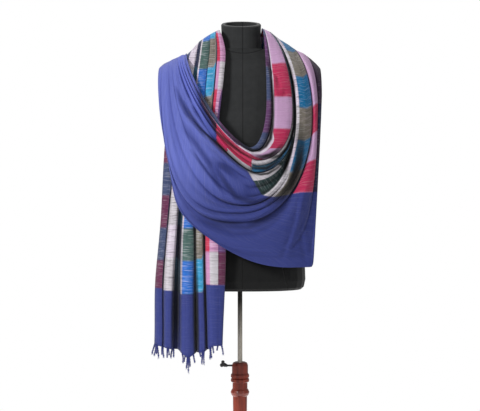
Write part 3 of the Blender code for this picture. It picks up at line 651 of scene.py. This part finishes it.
def frontGrid(u, t):
    values = [column(frontFolds, u, i)[:, None] for i in range(1, 9)]
    shoulderX, sideX, sideZ, lowX, lowZ, leftX, powerRight, powerLeft = values
    run = t[None, :]
    lift = seams["lift"] + leftLift(u) * (run > front["low"])
    topZ = shoulderHeight(shoulderX) + lift
    firstShare = np.clip(run / front["side"], 0, 1)
    firstX = shoulderX + (sideX - shoulderX) * np.sin(firstShare * math.pi / 2)
    firstZ = topZ + (sideZ - topZ) * firstShare ** 1.5
    nextShare = np.clip((front["low"] - run) / (front["low"] - front["side"]), 0, 1)
    lean = front["lean"] * smooth((u - 0.80) / 0.20)[:, None]
    nextX, nextZ = evenTurn(sideX, sideZ, lowX + lean, lowZ, powerRight, nextShare)
    nextX = nextX - lean * (sideZ - nextZ) / (sideZ - lowZ)
    lastShare = np.clip((run - front["low"]) / (1 - front["low"]), 0, 1)
    lastX, lastZ = turn(leftX, shoulderHeight(leftX) + lift, lowX, lowZ, powerLeft, lastShare)
    x = np.where(run < front["side"], firstX, np.where(run < front["low"], nextX, lastX))
    z = np.where(run < front["side"], firstZ, np.where(run < front["low"], nextZ, lastZ))
    # the lowest folds sag outwards where they cross the hanging end
    fuller = smooth((u - 0.75) / 0.25)[:, None] * smooth((run - front["low"]) / 0.08)
    fuller = fuller * bell(z, front["sagAt"], front["sagHigh"])
    x, z = x - front["sagLeft"] * fuller, z - front["sagDown"] * fuller
    near = reach(shoulderHeight(x) + lift - z)
    proud = along(frontRelief, u, t, [(0.02, 0.16), (0.33, 0.52), (0.60, 0.76)]) / 1000
    # the dark green panel's small folds die out where the plain end begins
    green = np.where((u > front["calmFrom"]) & (u < front["calmTo"]), 1.0, 0.0)[:, None]
    proud = proud * (1 - front["calm"] * (green * (run > 0.50) * (1 - smooth((x - 0.004) / 0.03))))
    proud = proud * (smooth(t / 0.12) * (1 - 0.6 * smooth((t - 0.86) / 0.14)))[None, :]
    proud = proud + strokes(x, z, frontCreases) * near + crinkle(u, t, front["crinkle"], 3.0)
    depth = (hangDepth(x, z, 2) + proud) * near
    onLeft = (run > front["low"]) * 1.0
    rise = (0.0008 + onLeft * (proud + 0.008) * 0.12) * (1 - near)
    return np.stack([x, -seams["half"] - depth, z + rise], axis=2), proud


def firstBelow(above, run):
    # how far along its run a fold first passes under the line, or just past its end
    under = np.nonzero(above < 0)[0]
    if not len(under) or under[0] == 0:
        return run[-1] + 0.02
    k = under[0]
    return run[k - 1] + (run[k] - run[k - 1]) * above[k - 1] / (above[k - 1] - above[k])


def shiftColumns(across, x, z, onLeft, mapX):
    # the weave's places across the cowl, and which points are its pale lowest fold
    edgeEnd, paleEnd, stripesEnd = frontColumns[0][0], frontColumns[1][0], frontColumns[6][0]
    # left of the chest the edge column rolls over the pale stripe, and the crimson one spreads out
    rolled = smooth((patch["rollX"] - x) / 0.008) * onLeft
    mapX = mapX - patch["rollBy"] * rolled * (mapX < paleEnd) * (mapX > edgeEnd)
    widened = (across > patch["wideFrom"]) & (across < paleEnd)
    mapX = mapX + patch["wideBy"] * widened * smooth((z - patch["wideZ"]) / 0.03) * (1 - onLeft)
    spread = (across > paleEnd) & (across < stripesEnd) & (x < patch["spreadX"]) & (onLeft > 0)
    mapX = np.where(spread, patch["spreadTo"] + (across - paleEnd) * patch["spreadRate"], mapX)
    # the crimson one ends on the left in dark yarns, and its lowest fold in pale ones, half in shade
    mapX = np.where(spread & (x < patch["darkX"]), patch["darkColumn"], mapX)
    paleFold = spread & (x > patch["paleX"]) & (across > patch["paleFrom"])
    mapX = np.where(paleFold, patch["paleColumn"], mapX)
    # the pale stripe beside the hanging blue and taupe column widens downwards
    stripe = bell(across, patch["stripeAt"], patch["stripeWide"]) * (across > patch["stripeFrom"])
    mapX = mapX - patch["stripeBy"] * smooth((patch["stripeZ"] - z) / 0.13) * stripe
    return mapX, paleFold


def shiftRows(across, mapX, mapY):
    block = weave["block"]
    # the crimson, dark and white columns come to their last block sooner, and stay in it
    paleEnd, greyEnd = frontColumns[1][0], frontColumns[4][0]
    inner = (mapX > paleEnd) & (mapX < greyEnd)
    mapY = mapY - patch["lastBy"] * smooth((patch["lastAt"] - mapY) / 0.03) * inner
    mapY = np.where(inner, np.maximum(mapY, patch["lastEnd"]), mapY)
    # beside the neck the rows are stretched, and the last one runs on over the shoulder
    stretched = np.minimum(2 * block + (mapY - 2 * block) * patch["neckRate"], patch["neckEnd"])
    mapY = np.where((across < patch["neckTo"]) & (mapY > 2 * block), stretched, mapY)
    # the outer column leans back over the shoulder, so its rows look shorter there
    leant = np.minimum(block + (mapY - block) * patch["outerRate"], patch["outerEnd"])
    mapY = np.where((across > patch["outerFrom"]) & (mapY > block), leant, mapY)
    return mapY


def makeFront():
    u, grid, proud, run, mapX = layOut(frontRelief, front, frontGrid)
    x, z = grid[:, :, 0], grid[:, :, 2]
    across = u[:, None]
    above = z - np.interp(x, *zip(*frontPlain))
    start = np.array([firstBelow(above[i], run[i]) for i in range(len(u))])
    # above the deep valley the rows are set by a block's edge at this height on the right side instead
    chest = np.array([firstBelow(z[i] - front["rowEdge"], run[i]) for i in range(len(u))]) + weave["block"]
    start = np.where(u < front["valley"], chest, start)
    onLeft = (denseEnds(front["along"], *front["dense"]) > 0.5)[None, :] * 1.0
    turned = np.where(onLeft > 0, x - np.interp(z, *zip(*frontTurned)), 1.0)
    check = np.where(across < front["valley"], turned, above)
    mapX, paleFold = shiftColumns(across, x, z, onLeft, mapX)
    mapY = shiftRows(across, mapX, start[:, None] - run)
    # painted shade in the folds' hollows and along drawn fold shadows, then painted light where the plain
    # cloth gleams
    dark = hollowShade(proud, u) * np.where(check > 0, 1.0, 0.75)
    dark = np.maximum(dark, shadows(x, z, frontShadows))
    # painted shade: the pale lowest fold is greyed, half in shade
    dark = np.where(paleFold, np.maximum(dark, patch["paleShade"]), dark)
    lit = gleams(x, z, 0.90, 0.25) * smooth(-check / 0.01)
    marks = {"check": check, "paintedShading": dark - lit * (1 - dark)}
    look = shawlLook("shawlCowl", frontColumns, 0.36)
    return clothPiece("cowlCloth", grid, mapX, mapY, marks, look)


# the fringed end hanging down the chest

tailHeights = (1.420, 1.350, 1.172, 0.936)
tailPleats = [
    # u, shoulderX, rootX, highX, chestX, lowX, hemX, hemZ
    (0.00, -0.0560, -0.0400, -0.043, -0.057, -0.037, -0.046, 0.633),
    (0.12, -0.0600, -0.0500, -0.051, -0.068, -0.072, -0.067, 0.633),
    (0.20, -0.0650, -0.0610, -0.064, -0.079, -0.092, -0.086, 0.622),
    (0.30, -0.0730, -0.0720, -0.077, -0.090, -0.105, -0.099, 0.615),
    (0.37, -0.0800, -0.0810, -0.088, -0.101, -0.117, -0.114, 0.615),
    (0.45, -0.0890, -0.0920, -0.099, -0.112, -0.133, -0.136, 0.599),
    (0.60, -0.1050, -0.1100, -0.118, -0.134, -0.158, -0.164, 0.620),
    (0.73, -0.1190, -0.1220, -0.134, -0.150, -0.176, -0.189, 0.622),
    (0.83, -0.1310, -0.1340, -0.149, -0.168, -0.192, -0.204, 0.625),
    (0.93, -0.1460, -0.1490, -0.164, -0.185, -0.203, -0.217, 0.628),
    (1.00, -0.1580, -0.1640, -0.178, -0.199, -0.212, -0.228, 0.630),
]
tailRelief = [
    # u, how proud in millimetres on the shoulder, on the chest, at the hem
    (0.000, 0, 1, -2), (0.060, 2, 4, 5), (0.105, 3, 5, 8), (0.170, 1, 2, 4), (0.205, -2, -4, -10),
    (0.240, 1, 3, 5), (0.300, 2, 4, 8), (0.345, 1, 2, 3), (0.372, -2, -4, -11), (0.400, 1, 3, 6),
    (0.460, 3, 5, 12), (0.530, 2, 4, 8), (0.570, -1, -2, -7), (0.610, -2, -4, -12), (0.660, -1, -2, -6),
    (0.700, 2, 4, 8), (0.760, 2, 4, 9), (0.830, -2, -3, -6), (0.860, 1, 3, 5), (0.930, 2, 4, 8),
    (1.000, 0, 1, -2),
]
tailPlain = [
    # u, height where the check ends
    (0.00, 0.792), (0.22, 0.794), (0.26, 0.774), (0.37, 0.773), (0.39, 0.768), (0.58, 0.768),
    (0.62, 0.776), (0.84, 0.776), (0.86, 0.781), (1.00, 0.781),
]
tailColumns = [
    (0.070, "plum", "purple", 0.5),
    (0.150, "greyWhite", "pink", 1.4),
    (0.206, "pink", "red", 0.5),
    (0.226, "navy", "teal", 0.4),
    (0.372, "cyan", "taupe", 1.2),
    (0.540, "royal", "green", 1.2),
    (0.572, "paleLilac", "greyWhite", 1.6),
    (0.662, "teal", "navy", 0.5),
    (0.832, "greyWhite", "paleLilac", 1.8),
    (0.852, "navy", "slate", 0.4),
    (1.000, "plum", "slate", 0.7, 0.012),
]
tailShadows = [
    # its line, x and z in mm, half width, how dark
    ([(-155, 1146), (-159, 1014), (-161, 883), (-165, 778), (-168, 700)], 7, 0.6),
    ([(-163, 870), (-167, 791), (-169, 726), (-170, 660), (-170, 582)], 12.5, 0.88),
    ([(-129, 1119), (-122, 1001), (-118, 910), (-116, 778), (-115, 673)], 4, 0.93),
    ([(-117, 852), (-116, 778), (-115, 700), (-114, 634), (-113, 563)], 8, 0.97),
    ([(-102, 1041), (-96, 949), (-93, 778), (-90, 673), (-89, 563)], 3, 0.9),
]
tail = {
    "across": 170, "along": 150, "dense": (0.7, 0.0), "crinkle": 0.0006,
    "block": 0.0865, "flare": 0.007, "flareAt": 0.79, "turnedUnder": 0.075,
}


def tailGrid(u, t):
    places = [column(tailPleats, u, i)[:, None] for i in range(1, 7)]
    shoulderX, hemZ = places[0], column(tailPleats, u, 7)[:, None]
    topZ = shoulderHeight(shoulderX) + seams["lift"]
    z = topZ + (hemZ - topZ) * (t ** 1.12)[None, :]
    heights = [topZ] + [np.minimum(h, topZ - 0.012) for h in tailHeights] + [hemZ]
    x = np.zeros_like(z)
    for i in range(5):
        before, after = max(i - 1, 0), min(i + 2, 5)
        span = heights[i + 1] - heights[i]
        share = np.clip((z - heights[i]) / span, 0, 1)
        slopeIn = (places[i + 1] - places[before]) / (heights[i + 1] - heights[before]) * span
        slopeOut = (places[after] - places[i]) / (heights[after] - heights[i]) * span
        a, b = share ** 2, share ** 3
        bend = (2 * b - 3 * a + 1) * places[i] + (b - 2 * a + share) * slopeIn
        bend = bend + (3 * a - 2 * b) * places[i + 1] + (b - a) * slopeOut
        inside = (z <= heights[i]) if i else np.full(z.shape, True)
        x = np.where(inside, bend, x)
    x = x - tail["flare"] * smooth((u - 0.5) / 0.5)[:, None] * bell(z, tail["flareAt"], 0.11)
    near = reach(shoulderHeight(x) + seams["lift"] - z)
    near[:, 0] = 0.0
    under = hanging["under"] * smooth((topZ - z) / 0.06)
    under = under + (hanging["underLow"] - hanging["under"]) * smooth((0.99 - z) / 0.10)
    proud = along(tailRelief, u, t, [(0.04, 0.25), (0.45, 0.72)]) / 1000
    proud = proud + crinkle(u, t, tail["crinkle"], 11.0)
    depth = (hangDepth(x, z, 2) - under + proud) * near
    rise = (proud + 0.004) * 0.12 * (1 - near)
    return np.stack([x, -seams["half"] - depth, z + rise], axis=2), proud


def makeTail():
    u, grid, proud, run, mapX = layOut(tailRelief, tail, tailGrid)
    # near the neck the edge column is turned under, so the next one reaches the edge
    nearNeck = smooth((grid[:, :, 2] - 1.27) / 0.05)
    mapX = mapX + tail["turnedUnder"] * np.clip(1 - mapX / 0.15, 0, 1) * nearNeck
    ends = column(tailPlain, u, 1)
    start = np.array([np.interp(-ends[i], -grid[i, :, 2], run[i]) for i in range(len(u))])
    mapY = (start[:, None] - run) * weave["block"] / tail["block"]
    # painted shade along the pleats' deep valleys and in the hollows between them
    dark = shadows(grid[:, :, 0], grid[:, :, 2], tailShadows)
    marks = {"check": mapY, "paintedShading": np.maximum(hollowShade(proud, u, 0.005, 0.03), dark)}
    look = shawlLook("shawlTail", tailColumns, 0.22)
    return clothPiece("tailCloth", grid, mapX, mapY, marks, look)


# the stretch across the back, and the end thrown over the left shoulder

backFolds = [
    # u, lowX, lowZ, powerLeft, powerRight
    (0.00, 0.004, 1.462, 2.0, 2.0),
    (0.10, 0.004, 1.441, 2.0, 2.0),
    (0.22, 0.008, 1.402, 1.9, 1.9),
    (0.32, 0.010, 1.362, 1.8, 1.9),
    (0.45, 0.006, 1.312, 1.8, 1.8),
    (0.57, -0.002, 1.262, 1.7, 1.8),
    (0.70, -0.012, 1.214, 1.7, 1.8),
    (0.83, -0.022, 1.158, 1.7, 1.9),
    (1.00, -0.034, 1.092, 1.7, 2.0),
]
backRelief = [
    # u, how proud in millimetres
    (0.00, 0), (0.05, 3), (0.10, -4), (0.15, 3), (0.22, 7), (0.28, 2), (0.32, -5), (0.38, 4), (0.45, 8),
    (0.52, 2), (0.57, -6), (0.62, 3), (0.70, 9), (0.78, 2), (0.83, -6), (0.89, 4), (0.95, 2), (1.00, 0),
]
backColumns = [
    (0.060, "purple", "slate", 0.5),
    (0.180, "magenta", "lilac", 0.5),
    (0.260, "greyWhite", "paleLilac", 1.3),
    (0.420, "teal", "blueCyan", 0.9),
    (0.520, "taupe", "greyWhite", 1.3),
    (0.720, "blueCyan", "taupe", 0.9),
    (0.880, "lilac", "magenta", 0.5),
    (1.000, "darkPlum", "navy", 0.4),
]
back = {"across": 120, "along": 150, "dense": (0.7, 0.7), "crinkle": 0.0007, "rowsFrom": 0.56}


def backGrid(u, t):
    lowX, lowZ, powerLeft, powerRight = [column(backFolds, u, i)[:, None] for i in range(1, 5)]
    startX = column(tailPleats, u, 1)[:, None]
    endX = column(frontFolds, u, 1)[:, None]
    run = t[None, :]
    lift = seams["lift"]
    startZ, endZ = shoulderHeight(startX) + lift, shoulderHeight(endX) + lift
    leftX, leftZ = turn(startX, startZ, lowX, lowZ, powerLeft, np.clip(1 - run / 0.5, 0, 1))
    rightX, rightZ = turn(endX, endZ, lowX, lowZ, powerRight, np.clip(run / 0.5 - 1, 0, 1))
    x = np.where(run < 0.5, leftX, rightX)
    z = np.where(run < 0.5, leftZ, rightZ)
    near = reach(shoulderHeight(x) + lift - z)
    near[:, 0] = near[:, -1] = 0.0
    height = np.sin(math.pi * run) ** 0.7
    proud = swing(backRelief, u, 1)[:, None] / 1000 * height + crinkle(u, t, back["crinkle"], 23.0)
    depth = (hangDepth(x, z, 3) + proud) * near
    leftRise = (swing(tailRelief, u, 1)[:, None] / 1000 + 0.004) * 0.12
    rise = (leftRise + (0.0008 - leftRise) * run) * (1 - near)
    return np.stack([x, seams["half"] + depth, z + rise], axis=2), proud


def makeBack():
    u, grid, proud, run, mapX = layOut(backRelief, back, backGrid)
    mapY = back["rowsFrom"] + run[:, -1:] - run
    # painted shade in the hollows between the folds
    marks = {"check": mapY, "paintedShading": hollowShade(proud, u)}
    look = shawlLook("shawlBackCheck", backColumns, 0.32)
    return clothPiece("backCloth", grid, mapX, mapY, marks, look)


endFolds = [
    # u, hemX, hemZ, proud in millimetres
    (0.00, -0.074, 1.150, 0), (0.09, -0.084, 1.152, 5), (0.18, -0.094, 1.158, 7), (0.27, -0.106, 1.170, 3),
    (0.36, -0.117, 1.184, -5), (0.45, -0.129, 1.204, 4), (0.55, -0.141, 1.226, 7), (0.65, -0.153, 1.250, 3),
    (0.74, -0.165, 1.274, -4), (0.81, -0.177, 1.293, 4), (0.88, -0.189, 1.312, 5), (1.00, -0.213, 1.336, 0),
]
end = {"across": 90, "along": 60, "dense": (0.5, 0.0), "crinkle": 0.0006}


def endGrid(u, t):
    hemX, hemZ = column(endFolds, u, 1)[:, None], column(endFolds, u, 2)[:, None]
    startX = column(frontFolds, u, 6)[:, None]
    lift = seams["lift"] + leftLift(u)
    topZ = shoulderHeight(startX) + lift
    run = t[None, :]
    x = startX + (hemX - startX) * run
    z = topZ + (hemZ - topZ) * run ** 1.4
    near = reach(shoulderHeight(x) + lift - z)
    near[:, 0] = 0.0
    over = hanging["overBack"] * smooth((topZ - z) / 0.05)
    proud = swing(endFolds, u, 3)[:, None] / 1000 * smooth(run * 2) + crinkle(u, t, end["crinkle"], 31.0)
    depth = (hangDepth(x, z, 3) + over + proud) * near
    rise = (swing(frontRelief, u, 4)[:, None] * 0.4 / 1000 + 0.008) * 0.12 * (1 - near)
    return np.stack([x, seams["half"] + depth, z + rise], axis=2), proud


def makeEnd():
    u, grid, proud, run, mapX = layOut(endFolds, end, endGrid)
    # painted shade in the hollows, and painted light where the cloth gleams high on the left
    dark = hollowShade(proud, u) - gleams(grid[:, :, 0], grid[:, :, 2], 1.20, 0.20)
    return clothPiece("endCloth", grid, mapX, run, {"paintedShading": dark}, shawlLook("shawlPlain", [], 0.15))


# the tassels, each one or more twisted strands with a loose, paler end
tassels = [
    # share of the hem, then for each strand: how far its tip lies right and down, and whether its end is pale
    (0.985, [(-0.010, 0.029, 0)]),
    (0.950, [(-0.010, 0.032, 0), (0.005, 0.037, 0), (-0.002, 0.027, 0)]),
    (0.835, [(-0.002, 0.024, 0), (0.004, 0.032, 0)]),
    (0.735, [(-0.002, 0.026, 0), (0.004, 0.019, 1)]),
    (0.665, [(-0.006, 0.027, 0), (0.001, 0.025, 0)]),
    (0.535, [(0.001, 0.027, 1)]),
    (0.485, [(-0.004, 0.015, 0)]),
    (0.447, [(-0.006, 0.030, 0), (0.000, 0.041, 1), (0.004, 0.024, 0)]),
    (0.400, [(0.005, 0.024, 0)]),
    (0.330, [(0.003, 0.012, 0)]),
    (0.277, [(-0.004, 0.034, 0), (0.002, 0.035, 1), (0.000, 0.021, 0)]),
    (0.165, [(-0.002, 0.031, 0), (0.005, 0.029, 0)]),
    (0.140, [(0.003, 0.018, 1)]),
    (0.060, [(-0.004, 0.013, 0)]),
    (0.015, [(0.005, 0.027, 1)]),
]
twist = {
    "yarn": 0.0015, "round": 0.0013, "turns": 3.2, "steps": 22, "sides": 6, "twisted": 0.78,
    "spacing": 0.0022,
    "knot": 0.0026, "knotShape": (0.45, 0.8, 0.95, 0.95, 0.8, 0.45), "knotTop": 0.0028, "knotStep": 0.0011,
    "loose": 4, "looseRadii": (0.0007, 0.0007, 0.0006, 0.0005, 0.0004), "looseShare": 0.24,
}


def tasselLook():
    look = Look("tasselYarn", Roughness=0.7, Sheen_Weight=0.3, Sheen_Roughness=0.4, Specular_IOR_Level=0.2)
    coords = look.space()
    pale = look.mark("pale")
    yarn = look.speckle(look.stretched(coords, 1.0, 1.0, 0.1), 700.0, 2.0)
    colour = look.mix(pale, tone(0.20, 0.235, 0.52), tone(0.66, 0.66, 0.76))
    look.feed("Base Color", look.mix(1.0, colour, look.grey(0.70 + 0.5 * yarn), "MULTIPLY"))
    look.feed("Normal", look.bump(yarn, 0.0004, 0.6))
    return look.material


def around(angle):
    return Vector((math.cos(angle), math.sin(angle), 0))


def tube(points, radii, sides, shape):
    verts, faces, pale = shape["verts"], shape["faces"], shape["pale"]
    start = len(verts)
    for i, (point, radius) in enumerate(zip(points, radii)):
        for k in range(sides):
            angle = 2 * math.pi * k / sides + 0.5 * i
            verts.append(point + around(angle) * radius)
            pale.append(shape["ending"] * max(0.0, i / (len(points) - 1) - 0.35) * 1.5)
    for i in range(len(points) - 1):
        for k in range(sides):
            a, b = start + i * sides + k, start + i * sides + (k + 1) % sides
            faces.append((a, a + sides, b + sides, b))
    faces.append(tuple(start + k for k in range(sides)))
    last = start + (len(points) - 1) * sides
    faces.append(tuple(last + k for k in reversed(range(sides))))


def addStrand(i, j, place, start, strand, shape):
    # two yarns twisted round each other, a knot, and loose ends below it
    sideways, down, isPale = strand
    shape["ending"] = 0.35 + 0.65 * isPale
    tip = Vector(place) + Vector((sideways, 0.002 * math.sin(i + j), -down))
    bendX = 0.004 * noise.noise(Vector((i * 1.3, j * 2.1, 4.0)))
    bendY = 0.003 * noise.noise(Vector((i, j * 1.7, 9.0)))
    line = []
    for s in range(twist["steps"] + 1):
        share = s / twist["steps"]
        line.append(start.lerp(tip, share) + Vector((bendX, bendY, 0)) * math.sin(share * math.pi))
    twisted = int(twist["steps"] * twist["twisted"])
    for yarn in range(2):
        path, radii = [], []
        for s in range(twisted + 1):
            angle = 2 * math.pi * twist["turns"] * s / twist["steps"] + math.pi * yarn + j
            path.append(line[s] + around(angle) * twist["round"])
            radii.append(twist["yarn"] * (1.15 - 0.25 * s / twist["steps"]))
        tube(path, radii, twist["sides"], shape)
    knot = line[twisted]
    ball = [knot + Vector((0, 0, twist["knotTop"] - twist["knotStep"] * n)) for n in range(6)]
    tube(ball, [twist["knot"] * size for size in twist["knotShape"]], 7, shape)
    for k in range(twist["loose"]):
        angle = 2 * math.pi * k / twist["loose"] + i
        out = Vector((math.cos(angle), math.sin(angle) * 0.7, 0))
        uneven = 0.8 + 0.5 * noise.noise(Vector((i * 1.1, k * 2.3, j + 8)))
        fall = Vector((0, 0, -down * twist["looseShare"] * uneven))
        path = [knot + out * (0.0006 + 0.0016 * n / 4) + fall * (n / 4) for n in range(5)]
        tube(path, twist["looseRadii"], 5, shape)


def makeTassels():
    places = np.array([row[0] for row in tassels])
    hem = tailGrid(places, np.array([0.0, 1.0]))[0][:, 1]
    shape = {"verts": [], "faces": [], "pale": [], "ending": 0.0}
    for i, (place, (_, strands)) in enumerate(zip(hem, tassels)):
        root = Vector(place) + Vector((0, 0, 0.003))
        for j, strand in enumerate(strands):
            aside = twist["spacing"] * (j - (len(strands) - 1) / 2)
            addStrand(i, j, place, root + Vector((aside, 0.0, 0.0)), strand, shape)
    points = [tuple(v) for v in shape["verts"]]
    marks = {"pale": np.clip(shape["pale"], 0, 1)}
    piece = addMesh("tailTassels", points, shape["faces"], marks, tasselLook())
    print("tassels", len(piece.data.polygons), "faces")
    return piece


# the thumbscrew: a thin shank and a knob of three lobes
screw = {
    "height": 0.560, "tip": -0.0068, "shank": 0.0026, "neck": -0.0370, "collar": 0.0042,
    "squash": (1.0, 0.62, 1.0),
    "lobes": [
        # x, height above the shank, radius
        (-0.0420, 0.0015, 0.0056), (-0.0500, 0.0010, 0.0054),
        (-0.0470, 0.0095, 0.0048), (-0.0462, 0.0035, 0.0050),
    ],
}


def settle(name, scale=(1.0, 1.0, 1.0)):
    # the primitive just added, with its place and size in its mesh
    made = bpy.context.object
    made.name = name
    made.scale = scale
    bpy.ops.object.transform_apply(location=True, rotation=True, scale=True)
    return made


def addRound(name, x, radius, depth):
    bpy.ops.object.select_all(action="DESELECT")
    bpy.ops.mesh.primitive_cylinder_add(
        vertices=40, radius=radius, depth=depth,
        location=(x, 0.0, screw["height"]), rotation=(0.0, math.pi / 2, 0.0),
    )
    return settle(name)


def joinSolid(base, other):
    pick(base)
    union = base.modifiers.new("join", "BOOLEAN")
    union.operation = "UNION"
    union.solver = "EXACT"
    union.object = other
    bpy.ops.object.modifier_apply(modifier="join")
    bpy.data.objects.remove(other, do_unlink=True)


def makeScrew(finish):
    length = screw["tip"] - screw["neck"]
    knob = addRound("screwShank", (screw["tip"] + screw["neck"]) / 2, screw["shank"], length)
    joinSolid(knob, addRound("collar", screw["neck"], screw["collar"], 0.004))
    for x, up, radius in screw["lobes"]:
        bpy.ops.object.select_all(action="DESELECT")
        place = (x, 0.0, screw["height"] + up)
        bpy.ops.mesh.primitive_uv_sphere_add(segments=32, ring_count=18, radius=radius, location=place)
        joinSolid(knob, settle("lobe", screw["squash"]))
    knob.name = "lobedScrew"
    soften = knob.modifiers.new("soften", "BEVEL")
    soften.width = 0.0004
    soften.segments = 2
    soften.angle_limit = math.radians(40)
    pick(knob)
    bpy.ops.object.modifier_apply(modifier="soften")
    knob.data.polygons.foreach_set("use_smooth", [True] * len(knob.data.polygons))
    knob.data.materials.clear()
    knob.data.materials.append(finish)
    return knob


# build the pieces

cowl = makeFront()
hangingEnd = makeTail()
backStretch = makeBack()
thrownEnd = makeEnd()
fringe = makeTassels()

for piece in (cowl, hangingEnd, backStretch, thrownEnd, fringe):
    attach(piece, "form")
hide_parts("shawl_front")
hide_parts("shawl_tail")
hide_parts("shawl_back")
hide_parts("shawl_end")
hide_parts("shawl_tail_fringe")
print("shawl placed")

jersey, wood, steel, blackMetal = jerseyLook(), woodLook(), steelLook(), screwLook()
lobedScrew = makeScrew(blackMetal)
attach(lobedScrew, "screw")
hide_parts("thumbscrew")
finishes = {
    "base": wood, "post": wood, "rod": steel, "torso": jersey, "neck_block": jersey,
}
for nodeName, finish in finishes.items():
    node = bpy.data.objects[nodeName]
    for slot in node.material_slots:
        slot.material = finish
    if not node.material_slots:
        node.data.materials.append(finish)
print("stand and form finished")


# floor, light and camera

def addLight(name, place, target, size, power, colour):
    lamp = bpy.data.lights.new(name, "AREA")
    lamp.shape = "RECTANGLE"
    lamp.size, lamp.size_y = size
    lamp.energy = power
    lamp.color = colour
    holder = addObject(name, lamp)
    holder.location = place
    holder.rotation_euler = (Vector(target) - Vector(place)).to_track_quat("-Z", "Y").to_euler()


bpy.ops.object.select_all(action="DESELECT")
bpy.ops.mesh.primitive_plane_add(size=2.6, location=(0, 0, 0))
floor = bpy.context.object
floor.name = "studioFloor"
floorLook = Look("paleFloor", Roughness=0.8, Emission_Color=(1.0, 1.0, 1.0, 1.0), Emission_Strength=0.62)
floorLook.feed("Base Color", (0.86, 0.86, 0.86, 1.0))
floor.data.materials.append(floorLook.material)

addLight("keyLight", (-2.6, -2.3, 2.5), (0.0, 0.0, 1.1), (0.7, 0.7), 100, (1.0, 0.99, 0.97))
addLight("fillLight", (2.4, -2.4, 1.5), (0.0, 0.0, 1.0), (1.6, 1.6), 10, (0.95, 0.97, 1.0))
addLight("leftLamp", (-0.32, -2.7, 1.35), (0.0, 0.0, 0.8), (0.07, 0.07), 4.5, (1.0, 0.98, 0.95))
addLight("rightLamp", (0.25, -2.7, 1.35), (0.0, 0.0, 0.8), (0.07, 0.07), 4.5, (1.0, 0.98, 0.95))
addLight("topLight", (0.2, 0.6, 3.0), (0.0, 0.0, 1.2), (1.5, 1.5), 18, (1.0, 1.0, 1.0))

world = bpy.data.worlds.new("studioWhite")
world.use_nodes = True
backdrop = world.node_tree.nodes["Background"]
backdrop.inputs["Color"].default_value = (1.0, 1.0, 1.0, 1.0)
seen = world.node_tree.nodes.new("ShaderNodeLightPath")
strength = world.node_tree.nodes.new("ShaderNodeMapRange")
strength.inputs["To Min"].default_value = 0.22
strength.inputs["To Max"].default_value = 1.0
world.node_tree.links.new(seen.outputs["Is Camera Ray"], strength.inputs["Value"])
world.node_tree.links.new(strength.outputs["Result"], backdrop.inputs["Strength"])
bpy.context.scene.world = world
bpy.context.scene.view_settings.view_transform = "Standard"

camera = {"distance": 2.8, "height": 1.0, "pixels": 1018, "imageWidth": 480, "sensor": 36.0}
lens = bpy.data.cameras.new("photoCamera")
lens.sensor_width = camera["sensor"]
lens.lens = camera["pixels"] / camera["imageWidth"] * camera["sensor"]
holder = addObject("photoCamera", lens)
holder.location = (0.0, -camera["distance"], camera["height"])
holder.rotation_euler = (math.pi / 2, 0.0, 0.0)
bpy.context.scene.camera = holder
print("floor, light and camera placed")
